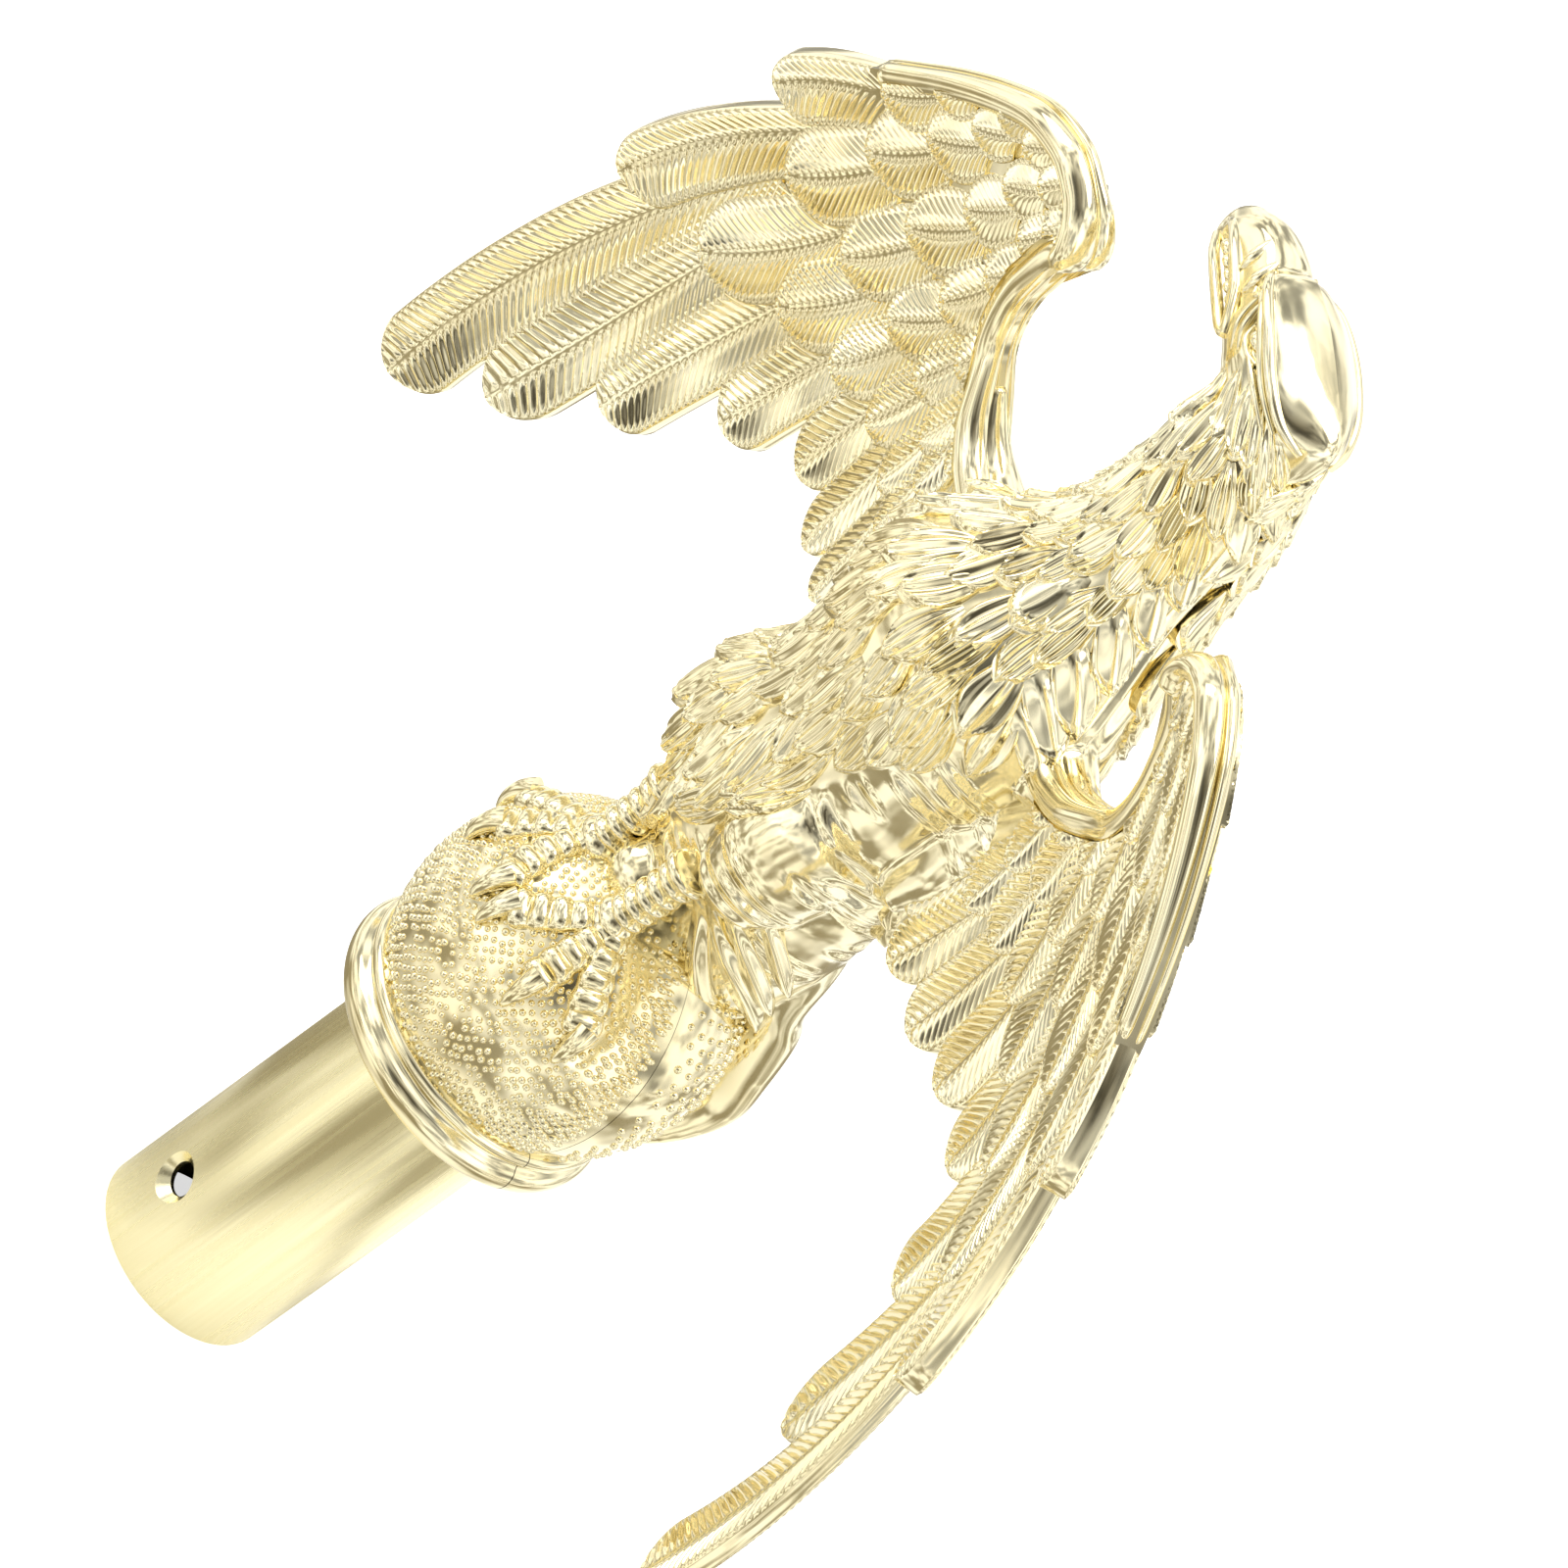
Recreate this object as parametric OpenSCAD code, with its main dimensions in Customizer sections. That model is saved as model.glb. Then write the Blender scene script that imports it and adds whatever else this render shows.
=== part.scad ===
// Eagle topper for a flag pole: an eagle with raised wings stands on a ball,
// and a metal socket tube under the ball slips over the pole.
// The origin is the centre of the tube's open end. +Z runs up the tube, the
// eagle's breast faces -Y, and its head is turned to its own right, -X.

/* [Socket tube] */
// Outside diameter of the tube
tube_od = 30; // [29.6:0.1:30.4]
// Bore of the tube, loose on a one inch pole
tube_id = 25.8; // [25.6:0.1:26.2]
// Bore above the shoulder that stops the pole, where the plug sits
plug_seat_d = 25; // [24.4:0.1:25.2]
// Length of tube that shows below the collar
tube_shown = 57; // [50:1:64]
// Height of the screw hole above the open end
hole_z = 14.4; // [12:0.2:18]
// Diameter of the screw hole
hole_d = 5; // [4:0.2:5.6]
// Diameter of the countersink at the tube's surface
sink_d = 8; // [7:0.2:9]

/* [Ball and collar] */
// Diameter of the ball
ball_d = 48.8; // [48:0.2:50]
// Outside diameter of the collar bead
collar_d = 45.6; // [45:0.2:47]
// Height of the collar bead
collar_h = 7.6; // [7:0.2:8.4]

/* [Shells] */
// Wall thickness of the two body shells
wall = 2.2; // [1.8:0.1:2.6]
// Gap between pieces that are glued together
glue_gap = 0.1; // [0.05:0.05:0.2]

/* [Wings] */
// Distance from the middle plane to the outermost feather
wing_reach = 99; // [94:1:104]
// Thickness of each wing skin at its thin trailing edge
skin_thin = 1.3; // [1.1:0.1:1.6]
// Thickness of each wing skin at the top of the wing
skin_thick = 2.8; // [2.4:0.1:3.2]

/* [Pins] */
// Diameter of the cross pin that holds the tube
cross_pin_d = 4; // [3:0.5:5]
// Diameter of the wing pins and the shell pins
pin_d = 2; // [1.6:0.1:2.2]

/* [Hidden] */

gold = "khaki";
satin_gold = "darkkhaki";
steel = "lightgray";
beech = "burlywood";

ball_r = ball_d / 2;
// Heights of the collar's middle and of the ball's middle
collar_z = tube_shown + collar_h / 2;
ball_z = tube_shown + 21.5;
// The tube ends inside the ball, and the plug fills its last stretch
tube_top = ball_z + 8;
plug_len = 18;
cross_pin_z = ball_z + 2;
cross_pin_len = 42;
seat_gap = 0.1;
hole_gap = 0.15;
// Far enough past a surface for a clean cut
past = 1;
// Wider, deeper or taller than the whole eagle
beyond = 120;
// Facets round a circle
round_fine = 72;
round_mid = 40;
round_small = 24;
round_coarse = 10;
// Steps along and facets round each loft
body_steps = 24;
body_sides = 26;
tail_steps = 12;
tail_sides = 16;
head_steps = 15;
head_sides = 18;

// Half sizes of the body, from the rump up to the neck: height above the ball's
// middle, sideways shift, fore-and-aft shift, half width, half depth
body_rows = [
    [18, 0, 9, 13, 14],
    [27, 0, 7, 15, 17],
    [37, 0, 4, 17.5, 18.5],
    [48, 0, 1.5, 19, 18.5],
    [58, 0, -0.5, 19, 17],
    [68, 0, -2, 19.5, 17],
    [78, 0, -3, 21.5, 18.5],
    [87, 0, -3, 22.5, 19],
    [95, 0.5, -2, 18.9, 16.5],
    [103, 1.5, -1, 14.5, 13.5],
    [112, 0.3, 0, 11.7, 11.7],
    [121, -1, 0, 11, 11],
    [130, -3.8, 0, 10.4, 10.4],
    [137, -6, 0, 9.5, 9.5]];

// The tail hangs behind the ball, with the same five values in each row
tail_rows = [
    [41, 0, 12, 12, 7],
    [30, 0, 16, 13.5, 7],
    [20, 0, 19.5, 13, 6.5],
    [14.5, 0, 23.5, 13, 6.5],
    [4.5, 0, 28, 12.5, 6],
    [-4, 0, 31, 12.5, 5.5],
    [-12, 0, 29, 11.5, 5],
    [-18, 0, 25, 9.5, 4.5],
    [-21, 0, 21, 6.5, 4]];

// The head lies along X: distance from the middle plane, fore-and-aft shift,
// height above the ball's middle, half width, half height
head_rows = [
    [5, 0, 138.5, 3, 2.5],
    [3, 0, 138.5, 7.5, 6],
    [-3, 0, 138.4, 9.6, 7.6],
    [-9, 0, 138.4, 10, 8.2],
    [-15, 0, 138.6, 9.2, 8.2],
    [-20, 0, 138.6, 7.4, 7.7],
    [-24, 0, 138.7, 5.8, 7],
    [-29, 0, 138.6, 5, 6.2],
    [-33, 0, 138.3, 4.1, 5.2],
    [-36, 0, 137, 2.6, 3.4],
    [-37, 0, 136, 1.2, 1.8]];
// Roundness of the head's sections: 2 is an ellipse, more is boxier
head_square = 2.6;
// Hooked tip of the upper beak: middle and radius of its two ends
hook_root = [-35.2, 0, 137.5];
hook_root_r = 2.2;
hook_end = [-35.4, 0, 133.6];
hook_end_r = 0.9;

// Legs and feet, for the left side; the right side mirrors them
ankle = [6, -10.5, 22];
knee = [6.5, -10.5, 37];
leg_r = 2;
thigh_mid = [11, -7.5, 48];
thigh_size = [9, 10.5, 16];
// Heading and tilt of each toe's last knuckle, seen from the ball's middle
toe_ends = [[5, 28], [33, 24], [57, 25]];
ankle_heading = [31, 62];
toe_r = 1.9;
// How far a toe's middle stands off the ball
toe_lift = 0.6;
toe_steps = 3;
claw_drop = 15;
claw_root_share = 0.8;
claw_tip_r = 0.5;

// The wing's middle surface bends as a polynomial of the distance from the
// middle plane and of the height, both counted in units of wing_unit
wing_unit = 60;
wing_mid_z = 71.5;
wing_bend = [-2.4, 11.7, -4.1, -5.5, -11.2, -11.3, -5.6];
// Leading edge from the shoulder over the wrist to the outer feathers
leading_edge = [
    [14, 91], [24.6, 92.8], [31, 96.5], [36.5, 103], [38, 109], [36.6, 115], [33.2, 120.5],
    [31.4, 126], [34.5, 131], [40, 133.2], [46, 132.8], [52, 129.6], [58, 124.5], [65, 117.5],
    [71, 110.5], [76.5, 104], [82, 95.5], [88, 83.5], [93, 67], [96.5, 53], [98.6, 38], [99, 26], [98.4, 14]];
bead_last = 15;
bead_r = 2.1;
bead_steps = 26;
bead_sides = 8;
// Shares of the bead's radius and of the skin's thickness that set the bead's middle in from the edge
bead_inset = 0.7;
bead_forward = 0.9;
edge_steps = 40;
// Underside of the arm, which the feathers overlap
arm_under = [[92, 12], [86, 44], [74, 54], [62, 64], [48, 66], [34, 66], [22, 64], [14, 62]];
// Trailing feathers: where each starts, where it ends, and its half width. The
// end has one height for the right wing and one for the left.
feathers = [
    [[84, 70], [94.6, 1.5], 1.5, 6.2],
    [[80, 70], [87, 12.5], 19, 5.8],
    [[72, 72], [77, 29], 40, 5.8],
    [[63, 76], [64, 46.5], 54, 5.8],
    [[54, 78], [49.5, 57.5], 56, 5.6],
    [[44, 78], [39, 58], 54, 5.4],
    [[34, 76], [29, 56], 54.5, 5],
    [[26, 76], [21, 60], 60, 4.6]];
// A feather narrows to this share of its half width at each end
feather_end = 0.72;
// Place of a feather's widest part between its root and its tip
feather_wide = 0.7;
feather_sides = 12;
// Span and steps of the grid that the wing's curved slab is built on
slab_x = [12, 102];
slab_z = [-2, 136];
slab_steps = [13, 19];
// Heights between which the skin thickens from thin to thick
skin_grows = [20, 120];
// Reach of the outermost feather in the tables above
table_reach = 99;

// Wing pins: heights above the ball's middle, and reach from the middle plane
wing_pin_z = [73, 84];
wing_pin_in = 13;
wing_pin_len = 20;
// Shell pins: sideways place and height above the ball's middle
shell_pin_at = [[-13, 50], [13, 50], [-13, 88], [13, 88]];
shell_pin_len = 14;
boss_r = 3.4;
boss_len = 26;
// Ledges that trap the cross pin: how far out they stand from the tube, and their width
ledge_out = 3.5;
ledge_wide = 6;
// First and last of the body's rows that are hollowed out
hollow_rows = [1, len(body_rows) - 3];

// Parting line seen from the side, as distance towards the back and height above
// the ball's middle: flat, with a step back where the tail leaves the rump
parting_step = [[0, 8], [9, 22], [9, 36], [0, 50]];

// Smooth curve through the rows of a table, at position t counted in rows
function row_at(rows, i) = rows[max(0, min(len(rows) - 1, i))];
function blend(a, b, c, d, u) =
    0.5 * (2 * b + (c - a) * u
        + (2 * a - 5 * b + 4 * c - d) * u * u
        + (3 * b - a - 3 * c + d) * u * u * u);
function curve(rows, t) =
    let (i = min(floor(t), len(rows) - 2))
    blend(row_at(rows, i - 1), row_at(rows, i), row_at(rows, i + 1), row_at(rows, i + 2), t - i);
function smooth(rows, steps) = [for (k = [0:steps]) curve(rows, k / steps * (len(rows) - 1))];

// Point on a rounded section; n is 2 for an ellipse
function section_point(a, b, n, angle) =
    [a * sign(cos(angle)) * pow(abs(cos(angle)), 2 / n),
     b * sign(sin(angle)) * pow(abs(sin(angle)), 2 / n)];

// Closed skin over a stack of rings that all have the same number of points
module skin(rings) {
    n = len(rings[0]);
    m = len(rings);
    sides = [for (i = [0:m - 2]) for (k = [0:n - 1])
        [i * n + k, (i + 1) * n + k, (i + 1) * n + (k + 1) % n, i * n + (k + 1) % n]];
    first = [for (k = [0:n - 1]) k];
    last = [for (k = [0:n - 1]) m * n - 1 - k];
    polyhedron(points = [for (r = rings) for (p = r) p],
               faces = concat(sides, [first], [last]), convexity = 6);
}

// Upright loft through rows of height, x, y, half width and half depth
module upright_loft(rows, steps, sides, inset = 0) {
    skin([for (r = smooth(rows, steps)) [for (k = [0:sides - 1])
        let (p = section_point(r[3] - inset, r[4] - inset, 2, 360 * k / sides))
        [r[1] + p[0], r[2] + p[1], r[0]]]]);
}

// The same, for the tail, whose rows run downwards
module tail_loft(steps, sides) {
    skin([for (r = smooth(tail_rows, steps)) [for (k = [0:sides - 1])
        let (p = section_point(r[3], r[4], 2, -360 * k / sides)) [r[1] + p[0], r[2] + p[1], r[0]]]]);
}

module head_loft(steps, sides) {
    skin([for (r = smooth(head_rows, steps)) [for (k = [0:sides - 1])
        let (p = section_point(r[3], r[4], head_square, -360 * k / sides))
        [r[0], r[1] + p[0], r[2] + p[1]]]]);
}

// Hooked tip of the upper beak
module beak_hook() {
    hull() {
        translate(hook_root) sphere(r = hook_root_r, $fn = round_coarse);
        translate(hook_end) sphere(r = hook_end_r, $fn = round_coarse);
    }
}

// Point at radius r from the ball's middle, at a heading from -Y and a tilt up
function ball_point(r, heading, tilt) =
    r * [sin(heading) * cos(tilt), -cos(heading) * cos(tilt), sin(tilt)];
function toe_point(end, t) =
    let (at = (1 - t) * ankle_heading + t * end)
    ball_point(ball_r + toe_lift, at[0], at[1]);

module left_foot() {
    for (end = toe_ends) {
        for (s = [0:toe_steps - 1]) {
            hull() {
                translate(toe_point(end, s / toe_steps)) sphere(r = toe_r, $fn = round_coarse);
                translate(toe_point(end, (s + 1) / toe_steps)) sphere(r = toe_r, $fn = round_coarse);
            }
        }
        hull() {
            translate(toe_point(end, 1)) sphere(r = toe_r * claw_root_share, $fn = round_coarse);
            translate(ball_point(ball_r, end[0], end[1] - claw_drop)) sphere(r = claw_tip_r, $fn = round_coarse);
        }
    }
}

module left_leg() {
    hull() {
        translate(ankle) sphere(r = leg_r, $fn = round_coarse);
        translate(knee) sphere(r = leg_r, $fn = round_coarse);
    }
    hull() {
        translate(knee) sphere(r = leg_r, $fn = round_coarse);
        translate(thigh_mid) scale(thigh_size) sphere(r = 1, $fn = 2 * round_coarse);
    }
}

module both_sides() {
    children();
    mirror([1, 0, 0]) children();
}

// Outer form of the eagle, the ball and the collar, with no hollow
module eagle_form() {
    translate([0, 0, ball_z]) {
        sphere(r = ball_r, $fn = round_mid);
        upright_loft(body_rows, body_steps, body_sides);
        tail_loft(tail_steps, tail_sides);
        head_loft(head_steps, head_sides);
        beak_hook();
        both_sides() {
            left_leg();
            left_foot();
        }
    }
    translate([0, 0, collar_z]) collar_ring();
}

module collar_ring() {
    bead = collar_h / 2;
    rotate_extrude($fn = round_fine) {
        translate([collar_d / 2 - bead, 0]) circle(r = bead, $fn = round_coarse);
        translate([tube_od / 2 - past, -bead]) {
            square([(collar_d - tube_od) / 2 - bead + past, collar_h + past]);
        }
    }
}

// Hollow inside the body and the ball, open downwards for the tube
module hollow() {
    translate([0, 0, ball_z]) {
        sphere(r = ball_r - wall, $fn = round_small);
        inner_rows = [for (i = [hollow_rows[0]:hollow_rows[1]]) body_rows[i]];
        upright_loft(inner_rows, tail_steps, tail_sides, wall);
    }
}

module tube_way() {
    translate([0, 0, -past]) cylinder(d = tube_od + 2 * seat_gap, h = tube_top + 2 * past, $fn = round_fine);
}

// Ledges inside the ball that trap the ends of the cross pin
module pin_ledges() {
    for (side = [-1, 1]) {
        translate([side * (tube_od / 2 + ledge_out), 0, cross_pin_z]) {
            cube([ledge_wide, cross_pin_d + 2 * wall, cross_pin_d + 2 * wall], center = true);
        }
    }
}

module cross_pin_way(gap) {
    translate([-cross_pin_len / 2 - gap, 0, cross_pin_z]) {
        rotate([0, 90, 0]) cylinder(d = cross_pin_d + 2 * gap, h = cross_pin_len + 2 * gap, $fn = round_mid);
    }
}

// Posts across the body's hollow that take the shell pins
module shell_bosses() {
    for (at = shell_pin_at) {
        translate([at[0], 0, ball_z + at[1]]) {
            rotate([90, 0, 0]) cylinder(r = boss_r, h = boss_len, center = true, $fn = round_small);
        }
    }
}

module shell_pin_set(gap) {
    for (at = shell_pin_at) {
        translate([at[0], 0, ball_z + at[1]]) {
            rotate([90, 0, 0]) {
                cylinder(d = pin_d + 2 * gap, h = shell_pin_len + 2 * gap, center = true, $fn = round_small);
            }
        }
    }
}

module wing_pin_set(gap) {
    for (side = [-1, 1]) {
        for (z = wing_pin_z) {
            inner = wing_y(wing_pin_in, z);
            outer = wing_y(wing_pin_in + wing_pin_len, z);
            translate([side * wing_pin_in, inner, ball_z + z]) {
                rotate([0, 0, side * atan2(outer - inner, wing_pin_len)]) rotate([0, side * 90, 0]) {
                    translate([0, 0, -gap]) {
                        cylinder(d = pin_d + 2 * gap, h = wing_pin_len + 2 * gap, $fn = round_small);
                    }
                }
            }
        }
    }
}

// The whole hollow casting before it is parted into front and back
module hollow_eagle() {
    difference() {
        union() {
            difference() {
                eagle_form();
                hollow();
            }
            intersection() {
                eagle_form();
                union() {
                    pin_ledges();
                    shell_bosses();
                }
            }
        }
        tube_way();
        cross_pin_way(hole_gap);
        shell_pin_set(hole_gap);
        wing_pin_set(hole_gap);
    }
}

// Side view of everything in front of the parting line, which steps back at the tail
module front_side_profile() {
    polygon(concat(
        [[-beyond, -past], [0, -past]],
        [for (p = parting_step) [p[0], ball_z + p[1]]],
        [[0, ball_z + 2 * beyond], [-beyond, ball_z + 2 * beyond]]));
}

module front_region(gap) {
    rotate([90, 0, 90]) linear_extrude(height = beyond, center = true) {
        translate([-gap / 2, 0]) front_side_profile();
    }
}

module front_shell() {
    color(gold) intersection() {
        hollow_eagle();
        front_region(glue_gap);
    }
}

module back_shell() {
    color(gold) difference() {
        hollow_eagle();
        front_region(-glue_gap);
    }
}

module ferrule_tube() {
    color(satin_gold) difference() {
        cylinder(d = tube_od, h = tube_top, $fn = round_fine);
        translate([0, 0, -past]) cylinder(d = tube_id, h = tube_top - plug_len + past, $fn = round_fine);
        cylinder(d = plug_seat_d, h = tube_top + past, $fn = round_fine);
        translate([0, 0, hole_z]) rotate([90, 0, 0]) cylinder(d = hole_d, h = tube_od, $fn = round_mid);
        screw_sink();
        translate([0, 0, cross_pin_z]) {
            rotate([0, 90, 0]) cylinder(d = cross_pin_d, h = 2 * tube_od, center = true, $fn = round_mid);
        }
    }
}

// Countersink on the front of the tube; it leaves a straight land at the bore
module screw_sink() {
    depth = (sink_d - hole_d) / 2;
    translate([0, -tube_od / 2 + depth, hole_z]) {
        rotate([90, 0, 0]) cylinder(d1 = hole_d, d2 = sink_d + 2 * depth, h = 2 * depth, $fn = round_mid);
    }
}

module tube_plug() {
    color(beech) difference() {
        translate([0, 0, tube_top - plug_len]) {
            cylinder(d = plug_seat_d - 2 * seat_gap, h = plug_len, $fn = round_fine);
        }
        translate([0, 0, cross_pin_z]) {
            rotate([0, 90, 0]) {
                cylinder(d = cross_pin_d + 2 * seat_gap, h = 2 * tube_od, center = true, $fn = round_mid);
            }
        }
    }
}

module cross_pin() {
    color(steel) translate([-cross_pin_len / 2, 0, cross_pin_z]) {
        rotate([0, 90, 0]) cylinder(d = cross_pin_d - 0.04, h = cross_pin_len, $fn = round_mid);
    }
}

module shell_pins() {
    color(steel) shell_pin_set(0);
}

module wing_pins() {
    color(steel) wing_pin_set(0);
}

// Fore-and-aft place of the wing's middle surface
function wing_y(x, z) =
    let (u = x / wing_unit, v = (z - wing_mid_z) / wing_unit, c = wing_bend)
    c[0] + c[1] * u + c[2] * v + c[3] * u * u + c[4] * u * v + c[5] * v * v + c[6] * u * u * u;
function skin_at(z) =
    let (t = (z - skin_grows[0]) / (skin_grows[1] - skin_grows[0]))
    skin_thin + (skin_thick - skin_thin) * max(0, min(1, t));

// Outline of one wing, flat: x is the distance from the middle plane, y the height
module wing_outline(left) {
    polygon(concat(smooth(leading_edge, edge_steps), arm_under));
    for (f = feathers) {
        r = f[3];
        tip = [f[1][0], (left ? f[2] : f[1][1]) + r * feather_end];
        hull() {
            translate(f[0]) circle(r = r * feather_end, $fn = feather_sides);
            translate((1 - feather_wide) * f[0] + feather_wide * tip) circle(r = r, $fn = feather_sides);
            translate(tip) circle(r = r * feather_end, $fn = feather_sides);
        }
    }
}

// Curved slab that follows the wing's middle surface, between two offsets of the skin's thickness
module wing_slab(from, to) {
    nx = slab_steps[0];
    nz = slab_steps[1];
    xs = [for (i = [0:nx]) slab_x[0] + (slab_x[1] - slab_x[0]) * i / nx];
    zs = [for (k = [0:nz]) slab_z[0] + (slab_z[1] - slab_z[0]) * k / nz];
    rings = [for (x = xs) concat(
        [for (z = zs) [x, wing_y(x, z) + to * skin_at(z), z]],
        [for (k = [nz:-1:0]) [x, wing_y(x, zs[k]) + from * skin_at(zs[k]), zs[k]]])];
    skin(rings);
}

// Rounded bead along the leading edge, in front of the front skin
module leading_bead() {
    path = smooth([for (i = [1:bead_last]) leading_edge[i]], bead_steps);
    last = len(path) - 1;
    skin([for (k = [0:last])
        let (along = path[min(k + 1, last)] - path[max(k - 1, 0)])
        let (across = [-along[1], along[0]] / norm(along))
        let (middle = path[k] - across * bead_r * bead_inset)
        let (y = wing_y(middle[0], middle[1]) - skin_at(middle[1]) * bead_forward)
        [for (j = [0:bead_sides - 1])
            let (a = 360 * j / bead_sides)
            [middle[0] + bead_r * cos(a) * across[0], y - bead_r * sin(a),
             middle[1] + bead_r * cos(a) * across[1]]]]);
}

// One skin of the left wing, set against the body
module wing_skin(front, left) {
    difference() {
        translate([0, 0, ball_z]) scale([wing_reach / table_reach, 1, 1]) {
            intersection() {
                rotate([90, 0, 0]) linear_extrude(height = beyond, center = true) wing_outline(left);
                if (front) {
                    wing_slab(-1, -glue_gap / 4);
                } else {
                    wing_slab(glue_gap / 4, 1);
                }
            }
            if (front) {
                leading_bead();
            }
        }
        translate([0, 0, ball_z]) upright_loft(body_rows, body_steps, body_sides, -glue_gap);
        wing_pin_set(hole_gap);
    }
}

module right_wing_front() {
    color(gold) mirror([1, 0, 0]) wing_skin(true, false);
}

module right_wing_back() {
    color(gold) mirror([1, 0, 0]) wing_skin(false, false);
}

module left_wing_front() {
    color(gold) wing_skin(true, true);
}

module left_wing_back() {
    color(gold) wing_skin(false, true);
}

ferrule_tube();
tube_plug();
cross_pin();
front_shell();
back_shell();
shell_pins();
right_wing_front();
right_wing_back();
left_wing_front();
left_wing_back();
wing_pins();
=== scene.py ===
import math

import bmesh
import bpy
import numpy as np
from mathutils import Matrix, Vector
from mathutils.bvhtree import BVHTree


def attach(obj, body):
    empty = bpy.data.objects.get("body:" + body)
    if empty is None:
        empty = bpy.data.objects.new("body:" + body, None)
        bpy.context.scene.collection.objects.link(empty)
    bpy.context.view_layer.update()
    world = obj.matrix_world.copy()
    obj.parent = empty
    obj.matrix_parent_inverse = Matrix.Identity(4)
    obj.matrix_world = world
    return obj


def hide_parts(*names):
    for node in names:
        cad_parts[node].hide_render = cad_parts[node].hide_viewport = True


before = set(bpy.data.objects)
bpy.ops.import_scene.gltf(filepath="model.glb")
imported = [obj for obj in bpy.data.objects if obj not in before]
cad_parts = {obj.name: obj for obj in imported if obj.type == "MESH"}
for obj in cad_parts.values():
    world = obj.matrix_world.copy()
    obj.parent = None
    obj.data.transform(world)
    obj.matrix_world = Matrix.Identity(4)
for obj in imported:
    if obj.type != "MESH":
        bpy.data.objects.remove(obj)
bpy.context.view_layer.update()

# Every shape below is worked out in millimetres in the row frame and scaled once, when its mesh is made.
# The origin is the middle of the tube's open end; the eagle's breast faces -Y and its right wing is at -X.
MM = 0.001
rng = np.random.default_rng(11)
# Edges steeper than this many degrees stay sharp, on the pieces in general and on the body's two halves
SHARP_ANGLE = 42
BODY_SHARP_ANGLE = 50

BALL_Z = 78.5
BALL_R = 24.4

# Body from the rump up to the head: height, middle x and y, half width, half depth
BODY_ROWS = [
    (96.5, 0, 9, 13, 14), (105.5, 0, 7, 15, 17), (115.5, 0, 4, 17, 18.5), (126.5, 0, 1.5, 18.2, 18.3),
    (136.5, 0, -0.5, 18.6, 16.8), (146.5, 0, -2, 19, 16.8), (156.5, 0, -3, 21, 18.2),
    (165.5, 0, -3, 22, 18.6), (173.5, 0.5, -2, 18.4, 16.2), (181.5, 1.5, -1, 14.1, 13.2),
    (190.5, 0.3, 0, 11.3, 11.4), (199.5, -1, 0, 10.4, 10.5), (207.5, -3.4, 0, 9.8, 9.6),
    (212, -5, 0, 8.8, 8.2), (216, -6, 0, 6.6, 6.2)]
# The tail hangs behind the ball, with the same five values in each row
TAIL_ROWS = [
    (119.5, 0, 12, 12, 7), (108.5, 0, 16, 13.5, 7), (98.5, 0, 19.5, 13.4, 6.5), (93, 0, 23.5, 13.4, 6.5),
    (83, 0, 28, 13, 6), (74.5, 0, 31, 12.5, 5.5), (66.5, 0, 29, 11.5, 5), (60.5, 0, 25, 9.5, 4.5),
    (57.5, 0, 21, 6.5, 4)]
# Where the rough feathers end on the flank: height, and degrees from the middle of the breast
FLANK_EDGE = ([117, 124, 133, 143, 152, 156], [3, 17, 34, 43, 50, 58])
# Shoulder that each wing springs from: x, y, height, radius
ARM_ROOT = [
    (14, -0.5, 165.6, 6.8), (20, -0.3, 166.4, 6), (25, -1, 168, 4.6), (29, -2.6, 170.8, 3.2),
    (32.5, -4.2, 174.2, 2.3), (34, -5.2, 176.6, 1.6)]
# The left thigh, the web between the left flank and wing, and the vent between the legs: middle, half sizes
THIGH = ((10.5, -7, 127.5), (8.6, 10.2, 15))
WING_WEB = ((19, 0, 150), (7, 3.2, 17))
VENT = ((0, -6.3, 102), (6.5, 7, 6))
# The hook of the beak, from top to tip, and its radius at both ends
BEAK_HOOK = [(-33.5, 0, 219.6), (-35.6, 0, 217.6), (-36.1, 0, 215), (-35.5, 0, 212.9), (-34.6, 0, 211.9)]
HOOK_RADII = (2.3, 0.7)
# Sections of the head along X: x, crown height, brow half width and height, eye hollow half width and
# height, cheek half width and height, and the underside's height
HEAD_SECTIONS = [
    (4.2, 220.4, 1, 219, 1, 217.5, 1, 215.5, 214), (3, 221.3, 3.2, 218.6, 3, 217.2, 3, 214.5, 212),
    (0, 222.7, 6.2, 218.9, 5.6, 217.4, 6.2, 214, 209), (-5, 223.8, 8.2, 220.6, 7.1, 218.6, 7.8, 214, 208),
    (-12, 224.9, 8.3, 222.3, 7, 220.2, 7.5, 214.5, 208.5), (-17, 225.2, 7.5, 223, 6, 220.6, 6.4, 214.8, 210),
    (-20.6, 224.8, 6, 223, 5.2, 220.4, 5.6, 215, 211.2),
    (-22.6, 223.7, 4.6, 222.2, 4.9, 219.6, 5.2, 215.4, 212),
    (-24.6, 224, 4, 222.6, 4.8, 219.4, 4.8, 215.6, 212.6), (-28, 224, 3.6, 222.6, 4.4, 219, 4.3, 215.8, 213),
    (-31.5, 223.2, 3.2, 221.6, 3.9, 218.6, 3.6, 215.8, 213.4),
    (-34, 221.7, 2.5, 220, 3.1, 217.8, 2.6, 215.6, 213.4),
    (-35.8, 219.4, 1.6, 218.2, 2, 216.8, 1.6, 215.2, 213.6),
    (-36.7, 217.4, 0.7, 216.8, 0.8, 216, 0.7, 215, 214.2)]
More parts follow.
